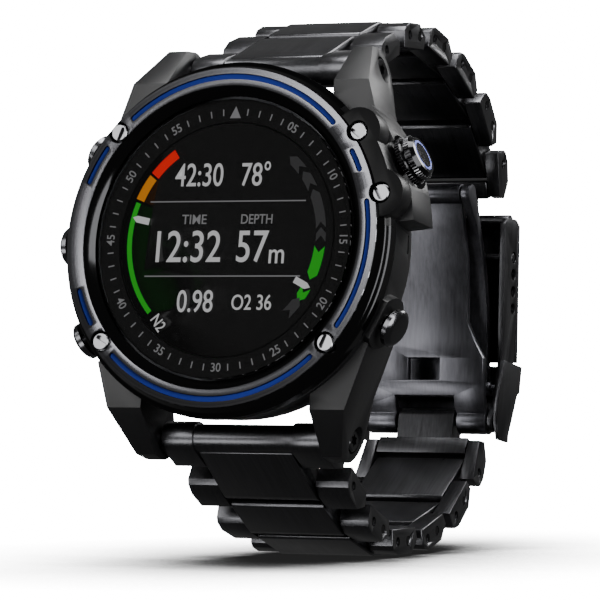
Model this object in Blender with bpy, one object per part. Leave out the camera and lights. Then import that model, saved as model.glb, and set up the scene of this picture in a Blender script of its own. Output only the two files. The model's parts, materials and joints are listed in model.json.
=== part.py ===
"""A dive computer on a steel link bracelet with a folding clasp, standing on its closed bracelet.

Sizes are in millimetres in the watch's own frame: X points to 3 o'clock, Y runs from the dial into the case
and Z points to 12 o'clock, with the dial's centre at the origin. The watch_frame empty leans that frame back and
stands it on the ground, and each mesh is scaled to metres as it is made. An angle on the dial is counted
clockwise from 12.
"""

import math
from dataclasses import dataclass

import bmesh
import bpy
from mathutils import Matrix, Vector

MM = 0.001
GAP = 0.3
WELD = 1e-4
FINE_SIDES = 64
PLAIN_SIDES = 40
ROD_SIDES = 12

# Head
LENS_RADIUS = 20.0
BEZEL_TOP = -1.6
BEZEL_BASE = 1.9
BEZEL_INNER = 20.3
BEZEL_OUTER = 25.5
CASE_FRONT = 2.8
CASE_REAR = 13.3
CASE_FRONT_RADIUS = 25.3
CASE_WAIST = (24.3, 10.0)
CASE_REAR_RADIUS = 22.8
CAVITY_RADIUS = 21.3
SENSOR_SLOT = ((8.4, -0.7), (9.0, -0.7), (9.0, 2.0), (8.4, 2.0))
BACK_FACE = 16.2
BACK_RADIUS = 22.4
WINDOW_RADIUS = 7.6
WINDOW_FLOOR = 15.0
CONTACT_MIDDLE = -14.5
CONTACT_SEAT = (1.5, 4.5)
CONTACT_BLOCK = (1.2, 4.1)
PAD_RADIUS = 0.7
PAD_OFFSETS = (-3.0, -1.0, 1.0, 3.0)

EAR_TOP = -1.1
EAR_LOBE_RADIUS = 3.4
EAR_WEB_SPAN = (22.6, 26.8)
SCREW_RADIUS = 1.25
SCREW_POCKET_RADIUS = 1.55
SCREW_POCKET_DEPTH = 1.3
EAR_SCREWS = ((53.4, 25.0), (75.7, 25.0))
RING_SCREWS = ((130.3, 23.1), (229.8, 23.1), (311.1, 23.1))

GUARD_SPAN = (45.7, 83.7)
GUARD_RADIUS = 27.9
GUARD_REAR = 9.4

LUG_INNER = 13.3
LUG_TIP_OUTER = 16.7
LUG_TIP_HEIGHT = 29.8
LUG_FLARE = 0.32
LUG_BACK_TAPER = 0.1
LUG_BAR = (12.1, 26.6)
LUG_BAR_RADIUS = 1.2
LUG_HEAD_RADIUS = 1.6
LUG_RECESS_RADIUS = 1.95
LUG_RECESS_FLOOR = 15.6
LUG_HEAD_HEIGHT = 0.8

# Buttons: angles on the dial, and depths of the axes behind it. A pocket is its radius and its floor's radius.
CROWN_ANGLE = 64.5
CROWN_DEPTH = 6.0
CROWN_POCKET = (4.2, 26.4)
BUTTON_DEPTH = 5.5
BUTTON_POCKET = (4.6, 26.0)
BOSS_RADIUS = 3.9
BOSS_REACH = 26.5
STEM_SEAT = 18.0
STEM_RADIUS = 1.1
STEM_END = 20.9
PLAIN_BUTTONS = {
    "button_lower_right": 115.3,
    "button_left_lower": 240.0,
    "button_left_middle": 270.0,
    "button_left_upper": 300.0,
}

# Bracelet
PITCHES = (9.6, 10.2, 11.7, 11.7, 11.4)
END_PITCH = 10.6
PLATE_LENGTHS = (5.5, 6.3, 7.6, 7.6, 7.3, 5.4)
HALF_WIDTHS = (12.6, 12.0, 11.3, 10.7, 10.2, 9.7)
PLATE_INNER = 7.7
PLATE_START = -2.1
PLATE_TAPER = 0.25
PLATE_TOP = 1.85
CENTRE_HALF_WIDTH = 7.4
CENTRE_START = 2.45
CENTRE_TOP = 2.1
CENTRE_BOTTOM = -1.75
CENTRE_STUB_END = 5.1
KNUCKLE_RADIUS = 2.1
PIN_RADIUS = 0.6
PIN_HOLE_RADIUS = 0.9
FIXING_BAR = (3.9, 0.0)
END_LINK_HALF_WIDTH = 12.7

# Clasp: places on the watch's own Y and Z axes
CLASP_HINGE = (73.0, -14.8)
TOP_BARREL = (64.4, 19.0)
BLADE_PIVOT = (75.6, -9.3)
ADJUST_BAR = (75.3, 11.1)
COVER_ANGLE = -83.0
ADJUST_STEP = 2.64
ADJUST_HOLES = 4
COVER_WALL = (10.2, 11.1)
ARM_OUTER = 11.0
LID_WALL = (11.4, 12.0)
TAB_INNER = 4.95
BLADE_HALF_WIDTH = 7.0
BLADE_FOOT_HALF_WIDTH = 9.9
NECK_HALF_WIDTH = 4.6
BLADE_THICKNESS = 1.2
SPRING_BAR_RADIUS = 0.75

# Base colour, metallic and roughness of each finish
LOOKS = {
    "dark_steel": ((0.045, 0.045, 0.047), 1.0, 0.38),
    "satin_steel": ((0.42, 0.42, 0.43), 1.0, 0.3),
    "black_polymer": ((0.012, 0.012, 0.013), 0.0, 0.45),
    "rubber": ((0.01, 0.01, 0.01), 0.0, 0.8),
    "screen": ((0.004, 0.004, 0.005), 0.0, 0.12),
    "sapphire": ((0.9, 0.92, 0.93), 0.0, 0.03),
    "board": ((0.01, 0.09, 0.04), 0.0, 0.5),
    "gold": ((0.8, 0.55, 0.2), 1.0, 0.25),
}


@dataclass(frozen=True)
class Chain:
    """One half of the bracelet. A bend is how far a row turns inwards from the one before it, in degrees."""

    name: str
    side: int
    end_angle: float
    bends: tuple

    def angle(self, row: int) -> float:
        """The direction of a row above the watch's Y axis, in degrees. Row 0 is the end link."""
        return self.side * (self.end_angle - sum(self.bends[:row]))

    def pin(self, row: int) -> Vector:
        """The place of a row's pin on the watch's Y and Z axes. Row 0 turns on the lug bar."""
        place = Vector((LUG_BAR[0], self.side * LUG_BAR[1]))
        for before, pitch in enumerate((END_PITCH, *PITCHES)[:row]):
            angle = math.radians(self.angle(before))
            place += pitch * Vector((math.cos(angle), math.sin(angle)))
        return place


UPPER = Chain("upper", 1, 28.5, (2.5, 16.5, 15.5, 14.0, 20.0, 27.0))
LOWER = Chain("lower", -1, 30.0, (6.0, 14.5, 19.43, 14.07, 18.5, 26.5))
STANDING_ROW = 3
LEAN = LOWER.angle(STANDING_ROW)


def laid_out(axis, along, first, second):
    """A point with its place along an axis, and its places on the other two axes in X, Y, Z order."""
    if axis == "X":
        return Vector((along, first, second))
    if axis == "Y":
        return Vector((first, along, second))
    return Vector((first, second, along))


def clock(angle, radius):
    """The X and Z of a point on the dial."""
    turn = math.radians(angle)
    return radius * math.sin(turn), radius * math.cos(turn)


def arc(centre, radius, start, end, steps):
    """Points from one angle to another, both included, in degrees from the first axis towards the second."""
    angles = [math.radians(start + (end - start) * step / steps) for step in range(steps + 1)]
    return [(centre[0] + radius * math.cos(a), centre[1] + radius * math.sin(a)) for a in angles]


def circle(centre, radius, sides=ROD_SIDES):
    """The corners of a round outline."""
    return arc(centre, radius, 0.0, 360.0, sides)[:-1]


def mirrored(outline, side):
    """An outline drawn with its second axis outwards, for the half of the bracelet on this side."""
    return [(first, side * second) for first, second in outline]


def shifted(outline, origin):
    """An outline in the watch's frame, seen from an origin."""
    return [(first - origin[0], second - origin[1]) for first, second in outline]


def from_origin(stations, origin):
    """A sheet's stations in the watch's frame, seen from an origin."""
    return [(y - origin[0], z - origin[1], half_width) for y, z, half_width in stations]


def prism(outline, low, high, axis="X", holes=()):
    """A flat outline with its holes, pulled along an axis from low to high."""
    shape = bmesh.new()
    for loop in (outline, *holes):
        corners = [shape.verts.new(laid_out(axis, low, *point)) for point in loop]
        for first, second in zip(corners, corners[1:] + corners[:1]):
            shape.edges.new((first, second))
    bmesh.ops.triangle_fill(shape, use_beauty=True, edges=shape.edges)
    pulled = bmesh.ops.extrude_face_region(shape, geom=shape.faces)["geom"]
    raised = [item for item in pulled if isinstance(item, bmesh.types.BMVert)]
    bmesh.ops.translate(shape, verts=raised, vec=laid_out(axis, high - low, 0.0, 0.0))
    bmesh.ops.recalc_face_normals(shape, faces=shape.faces)
    return shape


def rod(centre, radius, low, high, sides=ROD_SIDES):
    """A round bar along X."""
    return prism(circle(centre, radius, sides), low, high)


def turned(profile, axis="Y", sides=PLAIN_SIDES):
    """A profile of (radius, place along the axis) points turned about an axis. A ring's profile closes."""
    shape = bmesh.new()
    corners = [shape.verts.new(laid_out(axis, along, radius, 0.0)) for radius, along in profile]
    edges = [shape.edges.new(pair) for pair in zip(corners, corners[1:])]
    if profile[0][0] > 0.0:
        edges.append(shape.edges.new((corners[-1], corners[0])))
    bmesh.ops.spin(
        shape,
        geom=corners + edges,
        cent=(0.0, 0.0, 0.0),
        axis=laid_out(axis, 1.0, 0.0, 0.0),
        angle=math.tau,
        steps=sides,
    )
    bmesh.ops.remove_doubles(shape, verts=shape.verts, dist=WELD)
    bmesh.ops.recalc_face_normals(shape, faces=shape.faces)
    return shape


def strip(stations, thickness):
    """A bent sheet along a line of (y, z, half width) stations."""
    shape = bmesh.new()
    places = [Vector(station[:2]) for station in stations]
    rings = []
    for index, (place, station) in enumerate(zip(places, stations)):
        run = places[min(index + 1, len(places) - 1)] - places[max(index - 1, 0)]
        across = Vector((-run.y, run.x)).normalized() * thickness / 2
        half = station[2]
        near, far = place - across, place + across
        corners = ((-half, near), (half, near), (half, far), (-half, far))
        rings.append([shape.verts.new((x, point.x, point.y)) for x, point in corners])
    for ring, following in zip(rings, rings[1:]):
        for corner in range(4):
            beside = (corner + 1) % 4
            shape.faces.new((ring[corner], ring[beside], following[beside], following[corner]))
    shape.faces.new(rings[0])
    shape.faces.new(rings[-1])
    bmesh.ops.recalc_face_normals(shape, faces=shape.faces)
    return shape


def moved(shape, matrix):
    """The shape after a move or a turn."""
    bmesh.ops.transform(shape, matrix=matrix, verts=shape.verts)
    return shape


def facing(angle, depth):
    """The matrix that turns the Z axis to an angle on the dial, at a depth behind it."""
    return Matrix.Translation((0.0, depth, 0.0)) @ Matrix.Rotation(math.radians(angle), 4, "Y")


def both_sides(shape):
    """The shape and its mirror image in X, as a list of two."""
    copy = shape.copy()
    moved(copy, Matrix.Diagonal((-1.0, 1.0, 1.0, 1.0)))
    bmesh.ops.recalc_face_normals(copy, faces=copy.faces)
    return [shape, copy]


def scratch_object(shape):
    """A short-lived object that holds a shape."""
    mesh = bpy.data.meshes.new("scratch")
    shape.to_mesh(mesh)
    shape.free()
    scratch = bpy.data.objects.new("scratch", mesh)
    bpy.context.scene.collection.objects.link(scratch)
    return scratch


def combined(operation, base, *tools):
    """The base with each tool's shape joined to it or cut from it. The shapes handed in are used up."""
    for tool in tools:
        target = scratch_object(base)
        helper = scratch_object(tool)
        boolean = target.modifiers.new(operation, "BOOLEAN")
        boolean.operation = operation
        boolean.object = helper
        graph = bpy.context.evaluated_depsgraph_get()
        result = bpy.data.meshes.new_from_object(target.evaluated_get(graph))
        base = bmesh.new()
        base.from_mesh(result)
        bmesh.ops.remove_doubles(base, verts=base.verts, dist=WELD)
        for mesh in (result, target.data, helper.data):
            bpy.data.meshes.remove(mesh)
    return base


def joined(base, *tools):
    """The shapes as one."""
    return combined("UNION", base, *tools)


def cut(base, *tools):
    """The base without the tools' shapes."""
    return combined("DIFFERENCE", base, *tools)


def finish(name, look):
    """A part's own material."""
    colour, metallic, roughness = LOOKS[look]
    material = bpy.data.materials.new(f"{name}_finish")
    material.use_nodes = True
    surface = material.node_tree.nodes["Principled BSDF"]
    surface.inputs["Base Color"].default_value = (*colour, 1.0)
    surface.inputs["Metallic"].default_value = metallic
    surface.inputs["Roughness"].default_value = roughness
    return material


def part(name, shape, look, parent, matrix=None):
    """A named object made from a shape in millimetres, placed under its parent."""
    moved(shape, Matrix.Scale(MM, 4))
    bmesh.ops.triangulate(shape, faces=shape.faces)
    mesh = bpy.data.meshes.new(name)
    shape.to_mesh(mesh)
    shape.free()
    mesh.materials.append(finish(name, look))
    mesh.shade_smooth()
    mesh.set_sharp_from_angle(angle=math.radians(30.0))
    item = bpy.data.objects.new(name, mesh)
    bpy.context.scene.collection.objects.link(item)
    item.parent = parent
    if matrix is not None:
        item.matrix_basis = Matrix.LocRotScale(matrix.translation * MM, matrix.to_quaternion(), None)
    return item


def pivot(name, parent, place=(0.0, 0.0), angle=0.0):
    """An empty on a joint's axis, at a place on its parent's Y and Z axes, turned about X."""
    empty = bpy.data.objects.new(name, None)
    empty.empty_display_size = 0.004
    bpy.context.scene.collection.objects.link(empty)
    empty.parent = parent
    empty.location = (0.0, place[0] * MM, place[1] * MM)
    empty.rotation_euler.x = math.radians(angle)
    return empty


def disc(radius, low, high, bevel=0.3):
    """The profile of a round plate with its rear edge bevelled."""
    return ((0.0, low), (radius, low), (radius, high - bevel), (radius - bevel, high), (0.0, high))


def ring(inner, outer, low, high):
    """The profile of a plain ring."""
    return ((inner, low), (outer, low), (outer, high), (inner, high))


def lug(side):
    """The pair of lugs above or below the case, flaring outwards towards the case's middle."""
    axis_depth, axis_height = LUG_BAR
    outline = [(3.9, 8.0), (3.9, 23.5), (9.3, 29.4)]
    outline += arc((axis_depth, axis_height), 3.2, 95.0, -35.0, 8)
    outline += [(14.6, 24.0), (13.2, 20.5), (13.2, 8.0)]
    shape = prism(mirrored(outline, side), LUG_INNER, LUG_TIP_OUTER)
    for corner in shape.verts:
        if corner.co.x > LUG_INNER + GAP:
            corner.co.x += LUG_FLARE * (LUG_TIP_HEIGHT - abs(corner.co.z))
            corner.co.x -= LUG_BACK_TAPER * (corner.co.y - outline[0][0])
    return both_sides(shape)


def sector(start, end, inner, outer, low, high):
    """A block over part of a ring, between two angles on the dial."""
    steps = 8
    angles = [start + (end - start) * step / steps for step in range(steps + 1)]
    outline = [clock(angle, outer) for angle in angles]
    outline += [clock(angle, inner) for angle in reversed(angles)]
    return prism(outline, low, high, axis="Y")


def plug(radius, low, high):
    """The profile of a plain solid round."""
    return ((0.0, low), (radius, low), (radius, high), (0.0, high))


def boss(angle):
    """A round boss on the case's side, under a plain button."""
    return moved(turned(plug(BOSS_RADIUS, STEM_SEAT + 1.0, BOSS_REACH), axis="Z"), facing(angle, BUTTON_DEPTH))


def stem_hole(angle, depth, pocket):
    """The cutter for a button's stem and for the room round its head."""
    radius = STEM_RADIUS + GAP
    pocket_radius, pocket_floor = pocket
    outside = GUARD_RADIUS + 6.0
    profile = ((0.0, STEM_SEAT), (radius, STEM_SEAT), (radius, pocket_floor), (pocket_radius, pocket_floor))
    profile += ((pocket_radius, outside), (0.0, outside))
    return moved(turned(profile, axis="Z", sides=24), facing(angle, depth))


def build_case(frame):
    """The case: a turned body with four lugs, a guard for the crown button and a boss for each button."""
    rough_front = CASE_FRONT - 1.0
    profile = (
        (0.0, rough_front),
        (CASE_FRONT_RADIUS, rough_front),
        (CASE_FRONT_RADIUS, CASE_FRONT),
        CASE_WAIST,
        (CASE_REAR_RADIUS, CASE_REAR),
        (0.0, CASE_REAR),
    )
    shape = turned(profile, sides=FINE_SIDES)
    guard = sector(*GUARD_SPAN, CASE_REAR_RADIUS - 0.8, GUARD_RADIUS, rough_front - 0.4, GUARD_REAR)
    shape = joined(shape, *lug(1), *lug(-1), guard, *[boss(angle) for angle in PLAIN_BUTTONS.values()])
    front_slab = turned(plug(36.0, -5.0, CASE_FRONT))
    cavity = turned(plug(CAVITY_RADIUS, -6.0, 20.0), sides=FINE_SIDES)
    side_slot = prism(SENSOR_SLOT, 23.6, 27.0)
    shape = cut(shape, front_slab, cavity, side_slot, stem_hole(CROWN_ANGLE, CROWN_DEPTH, CROWN_POCKET))
    shape = cut(shape, *[stem_hole(angle, BUTTON_DEPTH, BUTTON_POCKET) for angle in PLAIN_BUTTONS.values()])
    for side in (1, -1):
        centre = (LUG_BAR[0], side * LUG_BAR[1])
        recess = rod(centre, LUG_RECESS_RADIUS, LUG_RECESS_FLOOR, 24.0, 24)
        shape = cut(shape, rod(centre, LUG_BAR_RADIUS + GAP, -24.0, 24.0, 16), *both_sides(recess))
    part("case_body", shape, "dark_steel", frame)


def build_lug_bar(name, side, frame):
    """A bar through a pair of lugs, with a screw head at each end."""
    half = LUG_RECESS_FLOOR + GAP
    end = half + LUG_HEAD_HEIGHT
    profile = [(0.0, -end), (LUG_HEAD_RADIUS, -end), (LUG_HEAD_RADIUS, -half)]
    profile += [(LUG_BAR_RADIUS, -half), (LUG_BAR_RADIUS, half)]
    profile += [(LUG_HEAD_RADIUS, half), (LUG_HEAD_RADIUS, end), (0.0, end)]
    place = Matrix.Translation((0.0, LUG_BAR[0], side * LUG_BAR[1]))
    part(name, turned(profile, axis="X", sides=20), "satin_steel", frame, place)


def build_bezel(frame):
    """The bezel ring, with an ear over the crown guard and a pocket for each screw."""
    profile = (
        (BEZEL_INNER, BEZEL_BASE),
        (BEZEL_INNER, -0.6),
        (21.8, BEZEL_TOP),
        (24.3, BEZEL_TOP),
        (24.7, 0.1),
        (BEZEL_OUTER, 0.3),
        (BEZEL_OUTER, BEZEL_BASE),
    )
    shape = turned(profile, sides=FINE_SIDES)
    lobes = []
    for angle, radius in EAR_SCREWS:
        lobes.append(prism(circle(clock(angle, radius), EAR_LOBE_RADIUS, 28), EAR_TOP, BEZEL_BASE, axis="Y"))
    web = sector(EAR_SCREWS[0][0], EAR_SCREWS[1][0], *EAR_WEB_SPAN, EAR_TOP, BEZEL_BASE)
    shape = joined(shape, web, *lobes)
    for screws, top in ((EAR_SCREWS, EAR_TOP), (RING_SCREWS, BEZEL_TOP)):
        for angle, radius in screws:
            outline = circle(clock(angle, radius), SCREW_POCKET_RADIUS, 16)
            shape = cut(shape, prism(outline, top - 1.0, top + SCREW_POCKET_DEPTH, axis="Y"))
    part("bezel", shape, "dark_steel", frame)


def build_bezel_screw(name, angle, radius, top, frame):
    """A round screw head with a wedge-shaped slot, just below the bezel's face."""
    head = turned(disc(SCREW_RADIUS, 0.1, SCREW_POCKET_DEPTH - GAP, 0.1), sides=20)
    slot = prism(((-0.85, -1.0), (0.85, -1.0), (0.4, 1.1), (-0.4, 1.1)), -1.0, 0.5, axis="Y")
    x, z = clock(angle, radius)
    place = Matrix.Translation((x, top, z)) @ Matrix.Rotation(math.radians(angle), 4, "Y")
    part(name, cut(head, slot), "satin_steel", frame, place)


def build_inside(frame):
    """The lens, the dial and everything inside the case."""
    rounds = {
        "lens": (disc(LENS_RADIUS, -0.65, 0.35, 0.2), "sapphire"),
        "dial_ring": (ring(16.9, 19.9, 0.7, 1.5), "black_polymer"),
        "display": (disc(16.6, 0.75, 1.9), "screen"),
        "display_frame": (ring(17.0, 20.6, 2.2, 4.2), "satin_steel"),
        "front_gasket": (ring(23.0, 24.9, 2.2, 2.5), "rubber"),
        "main_board": (disc(19.0, 5.0, 6.0), "board"),
        "battery": (disc(12.5, 6.5, 12.5), "satin_steel"),
        "back_gasket": (ring(20.2, 21.0, 12.8, 13.3), "rubber"),
    }
    for name, (profile, look) in rounds.items():
        part(name, turned(profile), look, frame)
    motor = turned(plug(2.0, -3.0, 3.0), axis="X", sides=16)
    part("vibration_motor", motor, "satin_steel", frame, Matrix.Translation((14.0, 9.0, -10.0)))
    sensor = turned(plug(1.8, 18.0, 20.7), axis="X", sides=16)
    part("pressure_sensor", sensor, "satin_steel", frame, Matrix.Translation((0.0, 8.7, 0.7)))


def contact_outline(half_size):
    """The oblong round the charging contacts, from its half width and half height."""
    half_width, half_height = half_size
    left, right = CONTACT_MIDDLE - half_width, CONTACT_MIDDLE + half_width
    return [(left, -half_height), (right, -half_height), (right, half_height), (left, half_height)]


def build_case_back(frame):
    """The case back, with the optical window and the charging contacts let into it."""
    profile = ((0.0, 13.6), (22.0, 13.6), (BACK_RADIUS, 14.0), (21.2, BACK_FACE), (0.0, BACK_FACE))
    window_seat = turned(plug(WINDOW_RADIUS + GAP, WINDOW_FLOOR, 18.0))
    contact_seat = prism(contact_outline(CONTACT_SEAT), WINDOW_FLOOR, 18.0, axis="Y")
    shape = cut(turned(profile, sides=FINE_SIDES), window_seat, contact_seat)
    part("case_back", shape, "dark_steel", frame)
    base = WINDOW_FLOOR + GAP
    dome = ((0.0, base), (WINDOW_RADIUS, base), (WINDOW_RADIUS, 16.1), (5.0, 16.5), (0.0, 16.6))
    part("sensor_window", turned(dome), "screen", frame)
    block = prism(contact_outline(CONTACT_BLOCK), base, BACK_FACE - 0.1, axis="Y")
    pads = []
    for offset in PAD_OFFSETS:
        outline = circle((CONTACT_MIDDLE, offset), PAD_RADIUS)
        pads.append(prism(outline, BACK_FACE - 0.4, BACK_FACE + 0.1, axis="Y"))
    part("charging_contacts", joined(block, *pads), "gold", frame)


def build_buttons(frame):
    """The crown-shaped button and the four plain ones. Each slides in along its own axis."""
    stem = ((0.0, STEM_END), (STEM_RADIUS, STEM_END))
    crown = stem + ((STEM_RADIUS, 27.2), (3.5, 27.2), (3.5, 28.2), (3.0, 28.2))
    crown += ((3.0, 28.5), (3.4, 28.5), (3.4, 29.4), (2.9, 30.0), (0.0, 30.0))
    plain = stem + ((STEM_RADIUS, 26.9), (2.75, 26.9), (2.75, 27.8), (2.3, 28.3), (0.0, 28.1))
    crown_place = facing(CROWN_ANGLE, CROWN_DEPTH)
    part("button_crown", turned(crown, axis="Z", sides=28), "satin_steel", frame, crown_place)
    for name, angle in PLAIN_BUTTONS.items():
        part(name, turned(plain, axis="Z", sides=24), "dark_steel", frame, facing(angle, BUTTON_DEPTH))


def centre_outline(start, pitch):
    """The side view of a centre link whose far end is rounded about the next pin."""
    chamfer = 0.3
    outline = [(start, CENTRE_TOP - chamfer), (start + chamfer, CENTRE_TOP)]
    outline += arc((pitch, 0.0), KNUCKLE_RADIUS, 90.0, -56.0, 8)
    outline += [(start + chamfer, CENTRE_BOTTOM), (start, CENTRE_BOTTOM + chamfer)]
    return outline


def end_link_outline(length, inset):
    """The side view of an end link, rounded about the lug bar."""
    top, tip = PLATE_TOP - inset, length - inset
    outline = arc((0.0, 0.0), 2.4 - inset, 90.0, 270.0, 10)
    outline += [(tip - 0.8, -top), (tip, 0.0), (tip - 2.3, top)]
    return outline


def build_end_link(chain, frame):
    """The piece between the lugs, which fills the gap to the first row and holds its pin."""
    length = END_PITCH - 4.1
    groove = 0.35
    middle_reach = CENTRE_HALF_WIDTH + 1.0
    middle_outline = mirrored(end_link_outline(length, groove), chain.side)
    shape = prism(middle_outline, -middle_reach, middle_reach)
    wing = prism(mirrored(end_link_outline(length, 0.0), chain.side), PLATE_INNER, END_LINK_HALF_WIDTH)
    tongue_outline = mirrored(centre_outline(0.5, END_PITCH), chain.side)
    tongue = prism(tongue_outline, -CENTRE_HALF_WIDTH, CENTRE_HALF_WIDTH)
    shape = joined(shape, *both_sides(wing), tongue)
    bar_hole = rod((0.0, 0.0), LUG_BAR_RADIUS + GAP, -14.0, 14.0, 16)
    pin_hole = rod((END_PITCH, 0.0), PIN_HOLE_RADIUS, -14.0, 14.0)
    end = pivot(f"{chain.name}_end", frame, chain.pin(0), chain.angle(0))
    part(f"end_link_{chain.name}", cut(shape, bar_hole, pin_hole), "dark_steel", end)
    return end


def outer_row(row, side):
    """Two side plates on their cross pin and their fixing bar."""
    length = PLATE_LENGTHS[row]
    half_width = HALF_WIDTHS[row]
    outline = [(PLATE_START, -1.9), (PLATE_START, 0.5), (-1.6, 1.2), (0.0, PLATE_TOP)]
    outline += [(length - 2.3, PLATE_TOP), (length, 0.0), (length - 0.8, -PLATE_TOP)]
    plate = prism(mirrored(outline, side), PLATE_INNER, half_width)
    for corner in plate.verts:
        if corner.co.x > half_width - GAP:
            share = (corner.co.y - PLATE_START) / (length - PLATE_START)
            corner.co.x += PLATE_TAPER * (1.0 - 2.0 * share)
    reach = PLATE_INNER + 1.1
    bars = [rod(place, PIN_RADIUS, -reach, reach) for place in ((0.0, 0.0), FIXING_BAR)]
    return joined(*both_sides(plate), *bars)


def last_centre(chain):
    """The last row's centre piece: a stub and, on the lower half, the neck that holds the clasp's spring bar."""
    outline = [(CENTRE_START, CENTRE_TOP), (CENTRE_STUB_END, CENTRE_TOP)]
    outline += [(CENTRE_STUB_END, CENTRE_BOTTOM), (CENTRE_START, CENTRE_BOTTOM)]
    shape = prism(mirrored(outline, chain.side), -CENTRE_HALF_WIDTH, CENTRE_HALF_WIDTH)
    holes = [rod(FIXING_BAR, PIN_HOLE_RADIUS, -9.0, 9.0)]
    if chain is LOWER:
        eye = hinge_in_last_row(chain)
        neck = [(4.0, -1.4), *arc(eye, 1.9, -90.0, 90.0, 10), (4.0, 1.4)]
        shape = joined(shape, prism(neck, -NECK_HALF_WIDTH, NECK_HALF_WIDTH))
        holes.append(rod(eye, SPRING_BAR_RADIUS + GAP, -9.0, 9.0))
    return cut(shape, *holes)


def hinge_in_last_row(chain):
    """The clasp's hinge as the last row sees it."""
    last_row = len(chain.bends)
    place = Vector(CLASP_HINGE) - chain.pin(last_row)
    place.rotate(Matrix.Rotation(-math.radians(chain.angle(last_row)), 2))
    return place


def build_rows(chain, end):
    """The rows of one half of the bracelet. Each turns on its pin, in the far end of the row before it."""
    holder, pitch = end, END_PITCH
    for row, bend in enumerate(chain.bends):
        number = row + 1
        holder = pivot(f"{chain.name}_row_{number}", holder, (pitch, 0.0), -chain.side * bend)
        part(f"{chain.name}_outer_{number}", outer_row(row, chain.side), "dark_steel", holder)
        if number == len(chain.bends):
            centre = last_centre(chain)
        else:
            pitch = PITCHES[row]
            outline = mirrored(centre_outline(CENTRE_START, pitch), chain.side)
            holes = [circle(place, PIN_HOLE_RADIUS) for place in (FIXING_BAR, (pitch, 0.0))]
            centre = prism(outline, -CENTRE_HALF_WIDTH, CENTRE_HALF_WIDTH, holes=holes)
        part(f"{chain.name}_centre_{number}", centre, "dark_steel", holder)


def build_blade_inner(frame):
    """The inner blade, from the spring bar at the last lower row to the barrel at its top."""
    narrow, middle, wide = 6.6, BLADE_HALF_WIDTH, BLADE_FOOT_HALF_WIDTH
    stations = [(64.7, 18.2, narrow), (66.1, 14.0, narrow), (67.3, 9.2, middle), (68.4, 4.0, middle)]
    stations += [(68.9, 0.0, middle), (69.2, -3.0, 8.4), (69.4, -5.6, wide)]
    stations += [(69.9, -9.3, wide), (71.0, -12.6, wide), (72.0, -13.7, wide)]
    shape = strip(from_origin(stations, CLASP_HINGE), BLADE_THICKNESS)
    barrel_centre = shifted([TOP_BARREL], CLASP_HINGE)[0]
    shape = joined(shape, rod(barrel_centre, 1.5, -6.6, 6.6, 20))
    shape = joined(shape, *both_sides(rod((0.0, 0.0), 2.0, TAB_INNER + 0.2, BLADE_FOOT_HALF_WIDTH, 20)))
    slot = prism(((-8.0, 5.8), (-1.0, 5.8), (-1.0, 9.2), (-8.0, 9.2)), -2.69, 2.69)
    notch = prism(((-8.0, -4.0), (4.0, -4.0), (4.0, 3.0), (-8.0, 3.9)), -TAB_INNER, TAB_INNER)
    shape = cut(shape, slot, notch, rod(barrel_centre, PIN_HOLE_RADIUS, -9.0, 9.0))
    shape = cut(shape, rod((0.0, 0.0), SPRING_BAR_RADIUS + GAP, -12.0, 12.0))
    body = pivot("blade_inner_pivot", frame, CLASP_HINGE)
    part("blade_inner", shape, "satin_steel", body)
    part("spring_bar_lower", rod((0.0, 0.0), SPRING_BAR_RADIUS, -9.9, 9.9), "satin_steel", body)
    return body


def build_blade_outer(holder):
    """The outer blade, from the inner blade's top barrel down to the pivot in the cover."""
    half_width = 8.2
    line = [(67.0, 15.9), (68.9, 12.7), (71.0, 9.0), (73.1, 3.5), (74.5, -3.0), (75.5, -9.0)]
    shape = strip(from_origin([(*place, half_width) for place in line], TOP_BARREL), BLADE_THICKNESS)
    knuckle = [*arc((0.0, 0.0), 1.4, 45.0, 225.0, 8), *shifted([(67.4, 14.2), (68.6, 14.7)], TOP_BARREL)]
    shape = joined(shape, *both_sides(prism(knuckle, 6.9, half_width)))
    pivot_centre = shifted([BLADE_PIVOT], TOP_BARREL)[0]
    shape = joined(shape, rod((0.0, 0.0), PIN_RADIUS, -7.5, 7.5), rod(pivot_centre, 1.1, -8.8, 8.8, 16))
    shape = joined(shape, rod(pivot_centre, PIN_RADIUS, -10.8, 10.8))
    body = pivot("blade_outer_pivot", holder, shifted([TOP_BARREL], CLASP_HINGE)[0])
    part("blade_outer", shape, "satin_steel", body)
    return body


def in_cover(place):
    """A place in the watch's frame as the cover sees it, from its pivot along its length and outwards."""
    seen = Vector(place) - Vector(BLADE_PIVOT)
    seen.rotate(Matrix.Rotation(-math.radians(COVER_ANGLE), 2))
    return seen


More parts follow.
